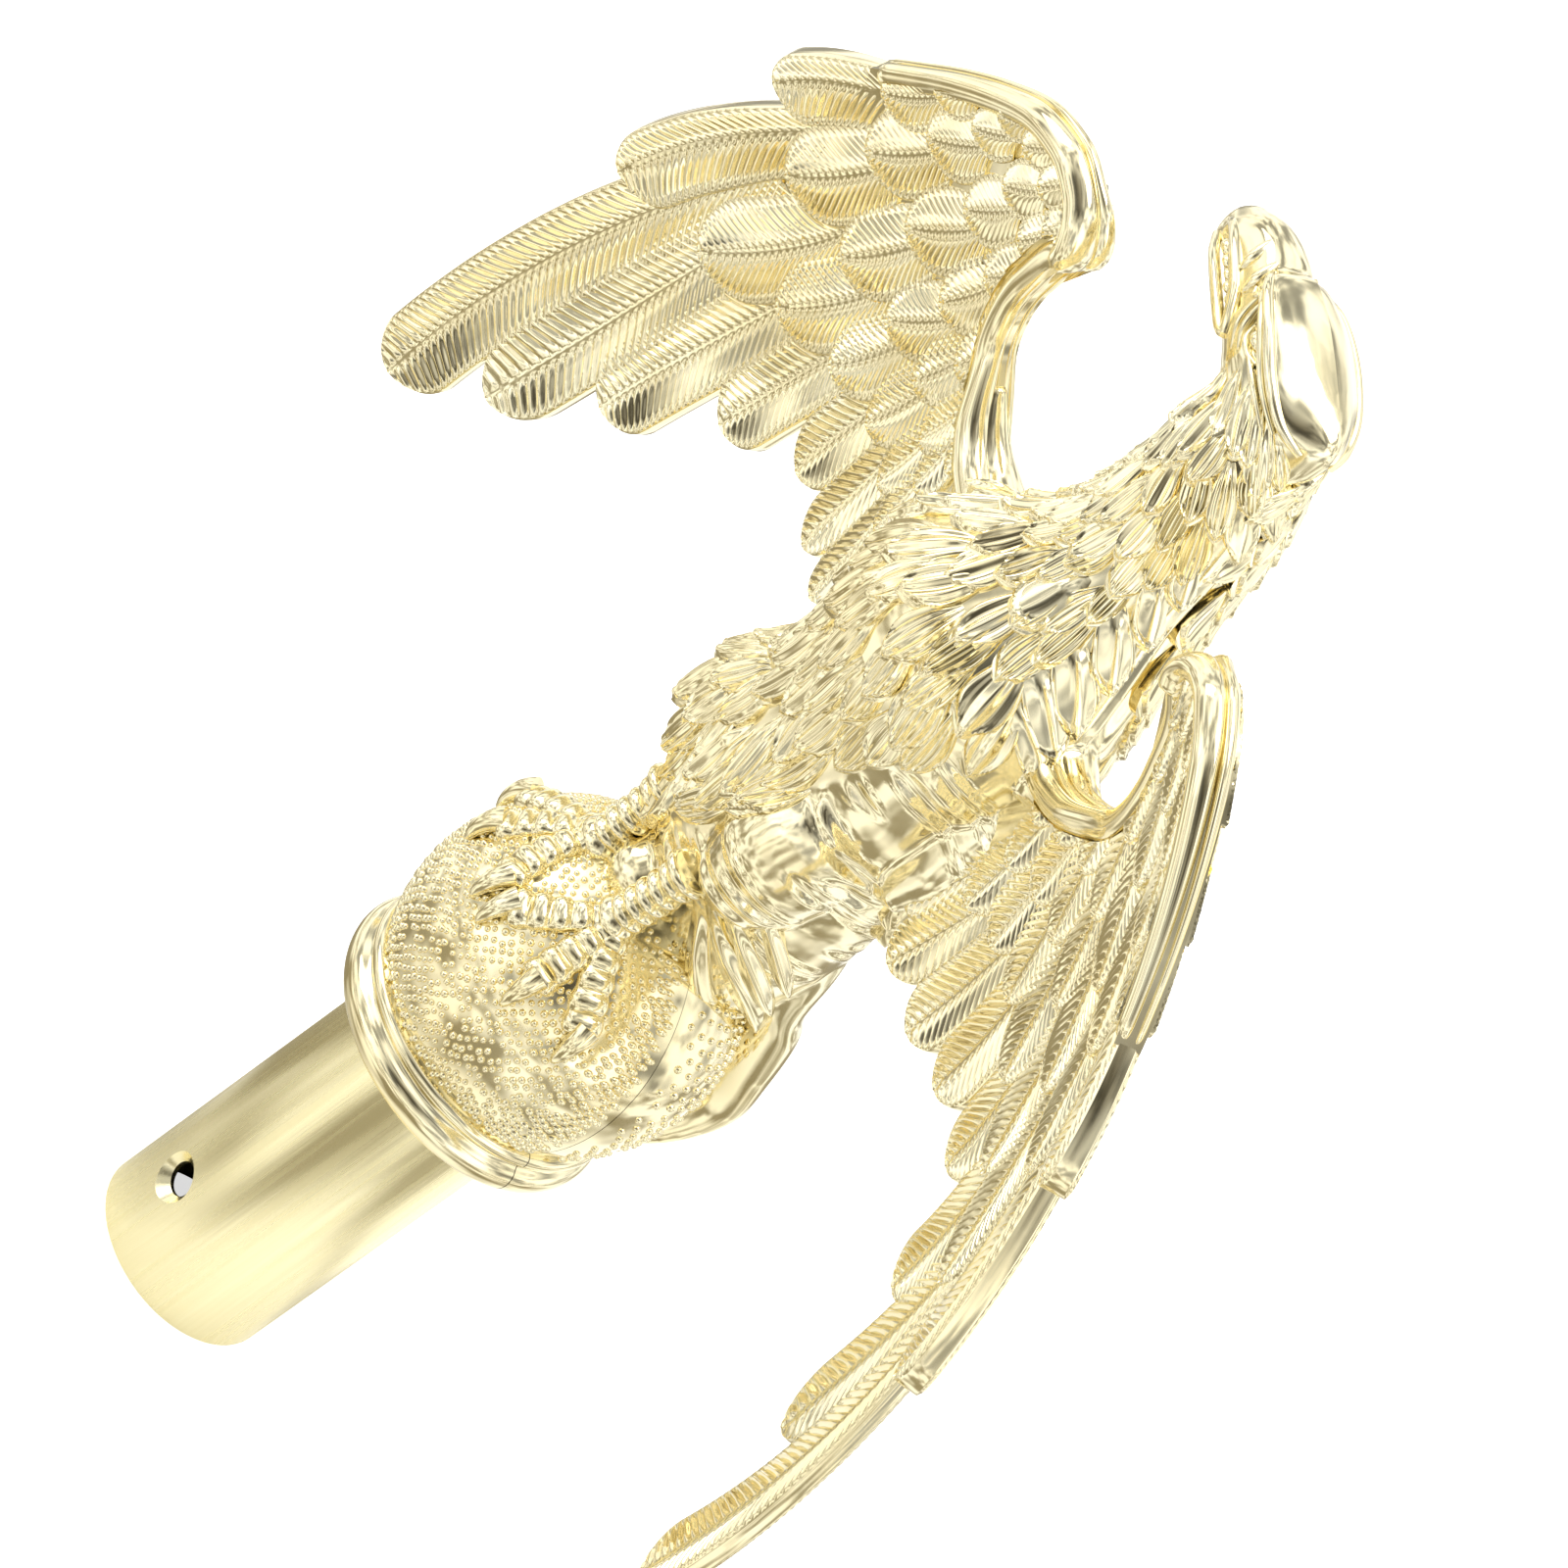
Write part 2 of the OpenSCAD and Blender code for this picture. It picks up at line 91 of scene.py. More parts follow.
# Beginning and end of each cheek feather under the brow, and its half width, on the eagle's left side
CHEEK_FEATHERS = [
    ((-13, -7.4, 213.6), (-7.6, -9, 207), 1.9), ((-10.4, -7.8, 216), (-2.4, -9, 209.6), 1.9),
    ((-7, -8, 217.2), (1, -7.4, 210.8), 2.1), ((-4, -8, 217.6), (2.4, -5.6, 211.4), 1.8),
    ((-1.5, -6.6, 217.2), (4.8, -1.6, 209.4), 2.3), ((1, -4.4, 216.6), (5, -1.4, 212), 1.6)]

# The wings' middle surface bends as a polynomial of x and height, both in this unit
WING_BEND = (-2.42, 11.73, -4.06, -5.5, -11.24, -11.32, -5.61, 0.37)
WING_UNIT = 60
WING_MID_Z = 150
# The wing root is thicker, so that it hides the pins inside it: by how much, and from where to where it fades
ROOT_SWELL = 1.25
ROOT_FROM, ROOT_TO = 30, 38
# Leading edge from the shoulder over the wrist to the tip of the outermost feather: x, height
LEADING_EDGE = [
    (18, 170.5), (24.6, 171.3), (29.5, 173.8), (33.5, 177.5), (36.2, 181), (37.3, 185.2), (37.3, 189),
    (36.5, 192.6), (34.8, 198.3), (32.6, 201), (31.7, 204.5), (32.9, 207.6), (35.2, 209.8), (40, 211.7),
    (44.1, 211.5), (50.6, 208.9), (58.1, 202.8), (65.2, 195.8), (71.2, 189), (76.5, 182.7)]
# Underside of the arm, which the feathers overlap
ARM_UNDER = [
    (18, 146), (26, 143), (34, 144), (42, 145), (50, 145), (58, 143), (66, 138), (74, 132), (82, 126),
    (88, 126), (89, 145), (84, 160), (76, 176)]
# Long feathers: root, middle, tip on the right wing, tip height on the left wing, half width
LONG_FEATHERS = [
    ((79, 160), (93.6, 118), (96, 80.2), 80.2, 5.7),
    ((74.5, 158), (81.5, 130), (86.3, 91.5), 103, 5.5),
    ((64, 159), (71.8, 132), (75.9, 107.5), 123.4, 5.6),
    ((54.5, 160), (59.5, 142), (62.6, 125.2), 134.7, 5.4),
    ((45, 160), (47.6, 147), (48.6, 135.4), 133.9, 5.1),
    ((38.4, 160), (38.6, 147), (38, 133), 131.1, 4.6),
    ((32.5, 158), (30.4, 146), (28.3, 133.6), 132.2, 4.2),
    ((27, 156), (25, 147), (22.4, 139), 138, 3.8)]
OUTER_FEATHERS = [
    ((76.5, 170), (89, 150), (95.6, 131.8), 131.8, 5.6),
    ((67, 187.8), (79, 176.2), (86.8, 164.8), 164.8, 5)]
# Coverts, row by row from the long feathers up: tip x, tip height, length, half width
COVERT_ROWS = [
    [(82, 135.9, 27, 5.6), (68.9, 143.6, 24, 5.6), (56.9, 148.2, 21, 5.3), (45.8, 151, 18, 4.9),
     (36.8, 150, 15, 4.2), (29.5, 148.4, 13, 3.8)],
    [(79.1, 157.4, 21, 5.4), (66.3, 158.8, 19, 5.4), (54.6, 162, 17, 5), (44.4, 162.6, 14, 4.3),
     (36.4, 160.6, 12, 3.8), (29.8, 158.2, 10.5, 3.4)],
    [(71.4, 173.6, 17, 4.8), (60.4, 173.6, 16, 5), (48.8, 173.6, 14, 4.6), (40, 172, 11, 3.9),
     (33.4, 169.2, 9, 3.2), (27.6, 165.6, 8, 2.8)],
    [(73.4, 182.6, 11, 3.6), (64.4, 186.2, 12, 4), (53.6, 186.4, 12, 4.3), (44.6, 184.6, 10.5, 4),
     (38.2, 181.6, 8, 3.2), (33.6, 176.4, 7, 2.6)],
    [(66.4, 192.6, 8, 2.8), (58.6, 196, 9, 3.2), (49.6, 196.4, 9.5, 3.5), (42.6, 194.4, 8.5, 3.2),
     (38.6, 189.4, 7, 2.6)],
    [(55.4, 202.6, 7, 2.4), (49.2, 204.4, 7, 2.6), (43.6, 203.6, 7.5, 2.8), (39, 200.6, 6.5, 2.6)]]


def smoothstep(a, b, x):
    """0 below a, 1 above b, and a soft change between them."""
    t = np.clip((x - a) / (b - a), 0, 1)
    return t * t * (3 - 2 * t)


def curve(rows, count):
    """A smooth curve through the rows, as count rows."""
    rows = np.asarray(rows, float)
    t = np.linspace(0, len(rows) - 1, count)
    i = np.minimum(t.astype(int), len(rows) - 2)
    u = (t - i)[:, None]
    a, b, c, d = (rows[np.clip(i + k, 0, len(rows) - 1)] for k in (-1, 0, 1, 2))
    return 0.5 * (2 * b + (c - a) * u + (2 * a - 5 * b + 4 * c - d) * u ** 2
                  + (3 * b - a - 3 * c + d) * u ** 3)


def unit(v):
    """Each row scaled to length 1."""
    return v / np.maximum(np.linalg.norm(v, axis=-1, keepdims=True), 1e-9)


def left_of(path):
    """Directions to the left of a flat path."""
    along = unit(np.gradient(path, axis=0))
    return np.stack([-along[:, 1], along[:, 0]], -1)


def full_turn(sides):
    """Angles evenly round a circle."""
    return np.linspace(0, 2 * np.pi, sides, endpoint=False)


def add_object(name, data):
    """A Blender object in the scene."""
    obj = bpy.data.objects.new(name, data)
    bpy.context.scene.collection.objects.link(obj)
    return obj


class Shape:
    """Collects closed solids, in millimetres, for one mesh."""

    def __init__(self):
        self.points, self.quads, self.tris, self.count = [], [], [], 0

    def rings(self, rings, from_corner=False):
        """Adds a closed solid whose skin runs over rings of points, facing outwards. A fan closes each end,
        from its middle or from the ring's last point."""
        rings = np.asarray(rings, float)
        m, n = rings.shape[:2]
        i, k = np.meshgrid(np.arange(m - 1), np.arange(n), indexing="ij")
        j = (k + 1) % n
        quads = np.stack([i * n + k, (i + 1) * n + k, (i + 1) * n + j, i * n + j], -1).reshape(-1, 4)
        points = np.concatenate([rings.reshape(-1, 3), rings[[0, -1]].mean(1)])
        k, j, last, hubs = k[0], j[0], (m - 1) * n, (m * n, m * n + 1)
        if from_corner:
            points, k, j, hubs = points[:-2], k[:-2], j[:-2], (n - 1, m * n - 1)
        tris = np.concatenate([np.stack([k, j, 0 * k + hubs[0]], -1),
                               np.stack([last + j, last + k, 0 * k + hubs[1]], -1)])
        middle = points - points.mean(0)
        volume = sum(np.einsum("ij,ij->", middle[f[:, 0]], np.cross(middle[f[:, 1]], middle[f[:, 2]]))
                     for f in (quads[:, :3], quads[:, [0, 2, 3]], tris))
        if volume < 0:
            quads, tris = quads[:, ::-1], tris[:, ::-1]
        self.points.append(points)
        self.quads.append(quads + self.count)
        self.tris.append(tris + self.count)
        self.count += len(points)

    def sheet(self, top, under):
        """Adds a solid between a grid of points on top and the first and last column of one under it."""
        self.rings(np.concatenate([top, under[:, [-1, 0]]], 1), from_corner=True)

    def mesh(self, name):
        """The collected solids as one Blender object."""
        points = np.concatenate(self.points) * MM
        quads, tris = np.concatenate(self.quads), np.concatenate(self.tris)
        data = bpy.data.meshes.new(name)
        data.vertices.add(len(points))
        data.vertices.foreach_set("co", points.astype(np.float32).ravel())
        data.loops.add(quads.size + tris.size)
        corners = np.concatenate([quads.ravel(), tris.ravel()])
        data.loops.foreach_set("vertex_index", corners.astype(np.int32))
        starts = np.concatenate([np.arange(len(quads)) * 4, quads.size + np.arange(len(tris)) * 3])
        data.polygons.add(len(starts))
        data.polygons.foreach_set("loop_start", starts.astype(np.int32))
        data.update(calc_edges=True)
        data.validate()
        data.shade_smooth()
        data.set_sharp_from_angle(angle=math.radians(SHARP_ANGLE))
        return add_object(name, data)


# ---------------------------------------------------------------- feathers

def outline(q, root, tip_from, point=0.5):
    """Share of a feather's half width at q along it: a narrow root, a full middle and a tip that is round
    at point 0.5 and sharper above it."""
    grow = root + (1 - root) * np.sin(np.clip(q / 0.62, 0, 1) * np.pi / 2)
    k = np.clip((q - tip_from) / (1 - tip_from), 0, 1)
    return grow * np.clip(1 - k ** 2.1, 0, 1) ** point


COLUMNS_FINE = np.array([-1, -.985, -.93, -.86, -.72, -.55, -.38, -.22, -.12, -.06, 0,
                         .06, .12, .22, .38, .55, .72, .86, .93, .985, 1])
COLUMNS_MID = np.array([-1, -.98, -.9, -.8, -.6, -.4, -.2, -.08, 0, .08, .2, .4, .6, .8, .9, .98, 1])
# Rows in the mesh of each barb, and columns across the feather
FINE, MID = (6, COLUMNS_FINE), (4, COLUMNS_MID)
FEWEST_BARBS = 5
# How far the barbs lean back, in half widths, and their largest share of the length
BARB_SWEEP, WIDEST_SWEEP = 1.1, 0.26


def barbed(length, half, pitch, grid, root, point, blunt):
    """Grid of a barbed feather: distance across, share along, column, and the barbs' ridges (0 to 1)."""
    per_barb, columns = grid
    barbs = max(int(round(length / pitch)), FEWEST_BARBS)
    u = np.linspace(0, 1, barbs * per_barb + 1)[:, None]
    v = columns[None, :]
    sweep = min(BARB_SWEEP * half / length, WIDEST_SWEEP)
    q = np.clip(u + sweep * np.abs(v) * (1 - u ** 4), 0, 1)
    tip_from = max(0.42, 1 - blunt * half / length)
    t = v * half * outline(q, root, tip_from, point)
    ridges = 0.5 + 0.5 * np.cos(2 * np.pi * u * barbs)
    ridges = ridges ** 0.8 * smoothstep(0.05, 0.2, np.abs(v)) * (1 - smoothstep(0.8, 0.93, np.abs(v)))
    return t, q, v + 0 * u, ridges


def wing_y(x, z):
    """Fore-and-aft place of the wing's middle surface."""
    a, b = x / WING_UNIT, (z - WING_MID_Z) / WING_UNIT
    return np.stack([1 + 0 * a, a, b, a * a, a * b, b * b, a ** 3, a * a * b], -1) @ WING_BEND


def on_wing(x, z, h, skin):
    """Point at height h off the wing's middle surface. skin holds 1 for the left wing or -1 for the right
    one, and -1 for its front or 1 for its back. x is the distance from the eagle's middle."""
    mirror, face = skin
    step = 0.05
    y = wing_y(x, z)
    dx = (wing_y(x + step, z) - y) / step
    dz = (wing_y(x, z + step) - y) / step
    normal = unit(np.stack([-dx, np.ones_like(dx), -dz], -1))
    h = h + ROOT_SWELL * np.clip(h, 0, 1) * (1 - smoothstep(ROOT_FROM, ROOT_TO, x))
    return (np.stack([x, y, z], -1) + face * h[..., None] * normal) * (mirror, 1, 1)


def bend_path(root, middle, tip, q):
    """Points on a curve through three points, and the directions across it."""
    a, b, c = (np.array(p, float) for p in (root, middle, tip))
    control = 2 * b - 0.5 * (a + c)
    q = q[..., None]
    at = (1 - q) ** 2 * a + 2 * q * (1 - q) * control + q ** 2 * c
    along = unit(2 * (1 - q) * (control - a) + 2 * q * (c - control))
    return at, np.stack([along[..., 1], -along[..., 0]], -1)


def wing_feather(shape, path, half, skin, base, rise, pitch, grid, tilt, root, barb, point, camber,
                 outer=1.0, blunt=1.5):
    """One feather on a wing: base is its height at the root, rise how much its tip lifts, tilt how much one
    side does, pitch and barb the barbs' distance and height, and outer the share of its width on the side
    away from the body."""
    path = [np.array(p, float) for p in path]
    length = np.linalg.norm(path[1] - path[0]) + np.linalg.norm(path[2] - path[1])
    t, q, v, ridges = barbed(length, half, pitch, grid, root, point, blunt)
    t = np.where(t > 0, t * outer, t)
    at, across = bend_path(*path, q)
    x, z = keep_inside(at[..., 0] - across[..., 0] * t, at[..., 1] - across[..., 1] * t)
    edge = np.abs(v)
    h = base + rise * q ** 1.3 + camber * half / 5 * (1 - edge ** 2)
    h += tilt * v
    h += barb * ridges * smoothstep(0, 0.06, q) * (1 - 0.5 * smoothstep(0.93, 1, q))
    shaft = np.exp(-(t / (0.34 + 0.02 * half)) ** 2)
    h += 0.3 * shaft * (1 - smoothstep(0.9, 0.99, q))
    h += 0.22 * smoothstep(0.82, 0.92, edge) - 0.45 * smoothstep(0.96, 1, edge)
    ends = [0, -1]
    under = on_wing(x[:, ends], z[:, ends], np.zeros((len(x), 2)), skin)
    shape.sheet(on_wing(x, z, h, skin), under)


EDGE_STEPS = 240
EDGE_PATH = curve(LEADING_EDGE, EDGE_STEPS)
EDGE_OUT = left_of(EDGE_PATH)
# The wrist's place in the leading edge's rows and on the path
WRIST = 10
WRIST_AT = int(EDGE_STEPS * WRIST / (len(LEADING_EDGE) - 1))
# Feathers keep this far inside the leading edge of the hand, and that much farther along the arm
HAND_MARGIN, ARM_MARGIN = 1.3, 2.9


def keep_inside(x, z):
    """Pulls points that stray past the leading edge back inside it."""
    flat = np.stack([x.ravel(), z.ravel()], -1)
    near = ((flat[:, None] - EDGE_PATH[None]) ** 2).sum(-1).argmin(1)
    over = np.einsum("ij,ij->i", flat - EDGE_PATH[near], EDGE_OUT[near])
    over += HAND_MARGIN + ARM_MARGIN * (1 - smoothstep(WRIST_AT - 16, WRIST_AT - 2, near))
    over = np.where(near < EDGE_STEPS - 4, np.maximum(over, 0), 0)
    flat = flat - EDGE_OUT[near] * over[:, None]
    return flat[:, 0].reshape(x.shape), flat[:, 1].reshape(x.shape)


def fall_direction(x, z, turn):
    """Which way a covert points on the wing, turned by some degrees, as a unit vector (x, z)."""
    angle = 36 + 0.35 * (z - 175) + 0.3 * min(x - 60, 10) - 1.1 * max(50 - x, 0)
    angle = math.radians(max(min(angle, 50), -22) + turn)
    return np.array([math.sin(angle), -math.cos(angle)])


# The core sheet starts this share of the way in from the leading edge
CORE_INSET = 0.012
# The feathers overlap by being wider, and the coverts also longer, than the tables say
WIDER, LONGER = 1.1, 1.28
# Height at which the band along the leading edge begins
BEAD_BASE = 0.8


def wing_skin(left, front):
    """All the solids of one skin of one wing."""
    shape = Shape()
    skin = (1 if left else -1, -1 if front else 1)
    grid = FINE if front else MID
    # Core sheet under the feathers
    upper, lower = curve(LEADING_EDGE, 90), curve(ARM_UNDER, 90)
    k = np.linspace(CORE_INSET, 1, 16)[:, None]
    core = upper[:, None] * (1 - k) + lower[:, None] * k
    x, z = core[..., 0], core[..., 1]
    top = on_wing(x, z, 0.7 + 1.3 * smoothstep(140, 200, z), skin)
    shape.rings(np.concatenate([top, on_wing(x, z, 0 * x, skin)[:, ::-1]], 1))
    # Long feathers, and the two outer ones that show half of their width
    for n, (root, middle, tip, left_z, half) in enumerate(LONG_FEATHERS + OUTER_FEATHERS):
        raised = left_z - tip[1] if left else 0
        middle = (middle[0] - raised * (tip[0] - root[0]) / 400, middle[1] + 0.5 * raised)
        tip = (tip[0] - 0.12 * raised, tip[1] + raised)
        outer = n >= len(LONG_FEATHERS)
        wing_feather(shape, (root, middle, tip), WIDER * half, skin, base=1.3 if outer else 0.95, rise=0.3,
                     pitch=1.65, grid=grid, tilt=-0.1, root=0.8, barb=0.5, point=0.56, camber=0.05,
                     outer=0.5 if outer else (0.74 if n == 0 else 1), blunt=1.15)
    # Coverts in rows, each row over the one below it, with finer barbs in the upper rows
    for level, row in enumerate(COVERT_ROWS):
        pitch, barb = (1.5, 0.56) if level < 3 else (1.25, 0.44)
        for x0, z0, length, half in row:
            length *= LONGER * rng.uniform(1.0, 1.14)
            half *= WIDER * rng.uniform(1.0, 1.1)
            d = fall_direction(x0, z0, rng.uniform(-5, 5))
            tip = np.array([x0, z0])
            lean = np.array([d[1], -d[0]]) * 0.03 * length
            path = (tip - d * length, tip - d * length * 0.5 + lean, tip)
            wing_feather(shape, path, half, skin, base=1.15 + 0.24 * level, rise=0.4, pitch=pitch,
                         grid=(grid if level < 4 else (MID[0], grid[1])), tilt=-0.06, root=0.5, barb=barb,
                         point=0.6, camber=0.02)
    leading_bead(shape, skin)
    return shape


def bead(shape, path, width, height, skin):
    """A smooth rounded bar along a path on the wing's surface."""
    across = left_of(path)
    q = np.linspace(0, 1, len(path))
    close = np.sqrt(np.clip(1 - smoothstep(0.95, 1, np.maximum(q, 1 - q)) ** 2, 0, 1)) * 0.94 + 0.06
    angles = full_turn(28)
    cosine, sine = np.cos(angles), np.sin(angles)
    at = path[:, None] + (across * (width * close)[:, None])[:, None] * cosine[:, None]
    rise = (height * close)[:, None] * np.where(sine > 0, sine, 0.5 * sine)
    shape.rings(on_wing(at[..., 0], at[..., 1], BEAD_BASE + rise, skin))


def leading_bead(shape, skin):
    """The smooth band along the arm from the shoulder to the wrist, and the rounded leading edge from the
    wrist to where the outer feathers start; both are lower on the wing's back."""
    q = np.linspace(0, 1, 100)
    arm = (LEADING_EDGE[:WRIST + 2], 2.5 - 0.4 * q, 2.3 - 0.5 * q, 0.92)
    edge = (LEADING_EDGE[WRIST - 1:], 2.35 - 0.8 * q, 3.2 - q - 0.8 * smoothstep(0.5, 1, q), 0.72)
    for rows, width, height, inward in (arm, edge):
        path = curve(rows, len(q))
        path = path - left_of(path) * (inward * width)[:, None]
        bead(shape, path, width, height * (0.55 if skin[1] > 0 else 1), skin)


# ---------------------------------------------------------------- body

def loft(rows, count, sides):
    """Level rings of an elliptic section that follow the rows."""
    z, x, y, wide, deep = curve(rows, count).T[..., None]
    a = full_turn(sides)
    return np.stack([x + wide * np.cos(a), y + deep * np.sin(a), z + 0 * a], -1)


def head_rings():
    """Rings of the head from the back of the crown to the beak."""
    out = []
    for x, top, brow_w, brow_z, eye_w, eye_z, cheek_w, cheek_z, low in curve(HEAD_SECTIONS, 90):
        side = [(0, top), (0.5 * brow_w, top - 0.2 * (top - brow_z)), (brow_w, brow_z), (eye_w, eye_z),
                (cheek_w, cheek_z), (0.6 * cheek_w, low + 0.25 * (cheek_z - low)), (0, low)]
        half = curve(side, 40)
        ring = np.concatenate([half, half[-2:0:-1] * (-1, 1)])
        out.append(np.stack([np.full(len(ring), x), -ring[:, 0], ring[:, 1]], -1))
    return out


def ellipsoid(centre, size, sides=40):
    """Rings of an ellipsoid."""
    t = np.linspace(0.02, np.pi - 0.02, sides // 2)[:, None]
    a = full_turn(sides)
    ball = np.stack([np.sin(t) * np.cos(a), np.sin(t) * np.sin(a), np.cos(t) + 0 * a], -1)
    return np.array(centre) + ball * size


def tube(path, radii, sides, up=(0, 0, 1)):
    """Rings of a round bar along a path."""
    along = unit(np.gradient(path, axis=0))
    side = unit(np.cross(along, up))
    over = np.cross(side, along)
    a = full_turn(sides)[:, None]
    return path[:, None] + radii[:, None, None] * (np.cos(a) * side[:, None] + np.sin(a) * over[:, None])


# Grid of the body's skin, in millimetres, and how often it is smoothed
VOXEL, QUICK_VOXEL = 0.5, 0.8
SMOOTH_PASSES = 8


def base_body():
    """The smooth casting under the feathers, as one remeshed skin: points in millimetres and faces."""
    shape = Shape()
    shape.rings(loft(BODY_ROWS, 70, 72))
    shape.rings(loft(TAIL_ROWS, 40, 48))
    shape.rings(head_rings())
    root = curve(ARM_ROOT, 30)
    for side in (-1, 1):
        for middle, size in (THIGH, WING_WEB):
            shape.rings(ellipsoid(np.array(middle) * (side, 1, 1), size))
        shape.rings(tube(root[:, :3] * (side, 1, 1), root[:, 3], 24))
    shape.rings(ellipsoid(*VENT))
    shape.rings(tube(curve(BEAK_HOOK, 20), np.linspace(*HOOK_RADII, 20), 18, up=(0, 1, 0)))
    raw = shape.mesh("body_raw")
    raw.data.transform(Matrix.Scale(1 / MM, 4))
    modifier = raw.modifiers.new("skin", "REMESH")
    modifier.mode = "VOXEL"
    modifier.voxel_size = VOXEL
    evaluated = raw.evaluated_get(bpy.context.evaluated_depsgraph_get())
    data = evaluated.to_mesh()
    points = np.zeros(len(data.vertices) * 3)
    data.vertices.foreach_get("co", points)
    points = points.reshape(-1, 3)
    faces = [list(p.vertices) for p in data.polygons]
    edges = np.zeros(len(data.edges) * 2, int)
    data.edges.foreach_get("vertices", edges)
    evaluated.to_mesh_clear()
    bpy.data.objects.remove(raw)
    edges = edges.reshape(-1, 2)
    for _ in range(SMOOTH_PASSES):
        total, near = np.zeros_like(points), np.zeros(len(points))
        for a, b in ((0, 1), (1, 0)):
            np.add.at(total, edges[:, a], points[edges[:, b]])
            np.add.at(near, edges[:, a], 1)
        points = points * 0.5 + 0.5 * total / near[:, None]
    return points, faces


def body_axis(z):
    """Middle and half sizes of the body at height z: x, y, half width, half depth."""
    rows = np.array(BODY_ROWS)
    return [np.interp(z, rows[:, 0], rows[:, k]) for k in (1, 2, 3, 4)]


def heading_of(points):
    """Heading round the body of each point, in degrees from the breast (-Y) towards +X."""
    x, y, _, _ = body_axis(points[:, 2])
    return np.degrees(np.arctan2(points[:, 0] - x, -(points[:, 1] - y)))


def flank_edge(z, heading):
    """How far round from the breast the rough feathers reach at height z; farther on the right side."""
    return np.interp(z, *FLANK_EDGE) + 14 * smoothstep(120, 131, z) * (heading < 0)


def carve_body(points):
    """Ridges on the flanks, and the mouth."""
    z = points[:, 2]
    x, y, a, b = body_axis(z)
    out = unit(np.stack([(points[:, 0] - x) / a, (points[:, 1] - y) / b, 0 * z], -1))
    heading = heading_of(points)
    edge = flank_edge(z, heading)
    heading = np.abs(heading)
    side = smoothstep(edge - 4, edge + 8, heading) * (1 - smoothstep(118, 135, heading))
    low = smoothstep(103, 112, z) * (1 - smoothstep(162, 172, z)) * side
    bend = 1.2 * np.sin(heading * 0.05 + z * 0.17) + 0.8 * np.sin(z * 0.47)
    wave = np.sin(z * 1.6 + heading * 0.1 + bend)
    streak = smoothstep(-0.3, 0.7, np.sin(heading * 0.075 + z * 0.3 + 1.4 * np.sin(z * 0.55)))
    second = np.sin(z * 0.7 - 1.6 * np.sin(heading * 0.05 - z * 0.13))
    lift = low * (0.36 * wave * streak + 0.16 * second)
    # The mouth is hollow between its rims
    mouth = smoothstep(-19, -21, points[:, 0]) * smoothstep(-35, -33, points[:, 0])
    mouth *= np.exp(-((z - 215.6) / 1.1) ** 2)
    inward = np.zeros_like(points)
    inward[:, 1] = -np.sign(points[:, 1]) * np.minimum(np.abs(points[:, 1]), 1.3) * mouth
    return points + out * lift[:, None] + inward


def split_body(points, faces, front):
    """The front (y below 0) or the back half of the body, closed, as a Blender mesh."""
    data = bpy.data.meshes.new("half")
    data.from_pydata((points * MM).tolist(), [], faces)
    b = bmesh.new()
    b.from_mesh(data)
    bmesh.ops.bisect_plane(b, geom=b.verts[:] + b.edges[:] + b.faces[:], plane_co=(0, 0, 0),
                           plane_no=(0, 1, 0), clear_outer=front, clear_inner=not front)
    bmesh.ops.holes_fill(b, edges=[e for e in b.edges if e.is_boundary], sides=0)
    bmesh.ops.recalc_face_normals(b, faces=b.faces[:])
    b.to_mesh(data)
    b.free()
    return data


# Height of the rim and depth of the channel at the seam down the nape
NAPE_RIM, NAPE_CHANNEL = 1.1, 1.6


def seam_step(data, front):
    """The front half ends in a raised rim down the nape, and the back half steps in behind it."""
    co = np.zeros(len(data.vertices) * 3, np.float32)
    data.vertices.foreach_get("co", co)
    p = co.reshape(-1, 3).astype(float) / MM
    x, y, z = p.T.copy()
    outward = x - body_axis(z)[0]
    nape = smoothstep(170, 176, z) * (1 - smoothstep(210, 215, z)) * smoothstep(0, 4, outward)
    if front:
        shift = NAPE_RIM * nape * smoothstep(-4.5, -3, y) * (1 - smoothstep(-1.1, -0.1, y))
    else:
        shift = -NAPE_CHANNEL * nape * (1 - smoothstep(1.2, 4, y))
    p[:, 0] += shift * np.sign(outward)
    # The crown rises to a crisp ridge at the seam
    crown = smoothstep(216, 219, z) * (1 - smoothstep(3, 5, x)) * smoothstep(-23, -20, x)
    p[:, 2] += (0.75 if front else 0.55) * crown * np.clip(1 - np.abs(y) / 5.5, 0, 1)
    data.vertices.foreach_set("co", (p * MM).astype(np.float32).ravel())
    data.update()


PATCH_STEPS = 5


class Ground:
    """The body's surface, for setting feathers on it."""

    def __init__(self, points, faces):
        self.tree = BVHTree.FromPolygons(points.tolist(), faces)

    def at(self, p):
        """Nearest place on the surface and its outward direction."""
        place, normal, _, _ = self.tree.find_nearest(Vector(p))
        return np.array(place), np.array(normal)

    def patch(self, start, direction, length, half):
        """A smooth patch of the surface under a feather, as factors of its polynomial terms."""
        place, normal = self.at(start)
        ahead = unit(direction - normal * (direction @ normal))
        samples, terms = [], []
        for i in range(PATCH_STEPS + 1):
            side = unit(np.cross(ahead, normal))
            for t in (-1, -0.5, 0, 0.5, 1):
                samples.append(self.at(place + side * t * half)[0])
                terms.append(patch_terms(i / PATCH_STEPS, t))
            following, normal = self.at(place + ahead * length / PATCH_STEPS)
            ahead = unit(following - place)
            place = following
        return np.linalg.lstsq(np.array(terms), np.array(samples), rcond=None)[0]


def patch_terms(s, t):
    """Polynomial terms of a patch at share s along and t across."""
    s, t = np.broadcast_arrays(np.asarray(s, float), np.asarray(t, float))
    return np.stack([np.ones_like(s), s, t, s * s, s * t, t * t, s ** 3, s * s * t, s * t * t], -1)


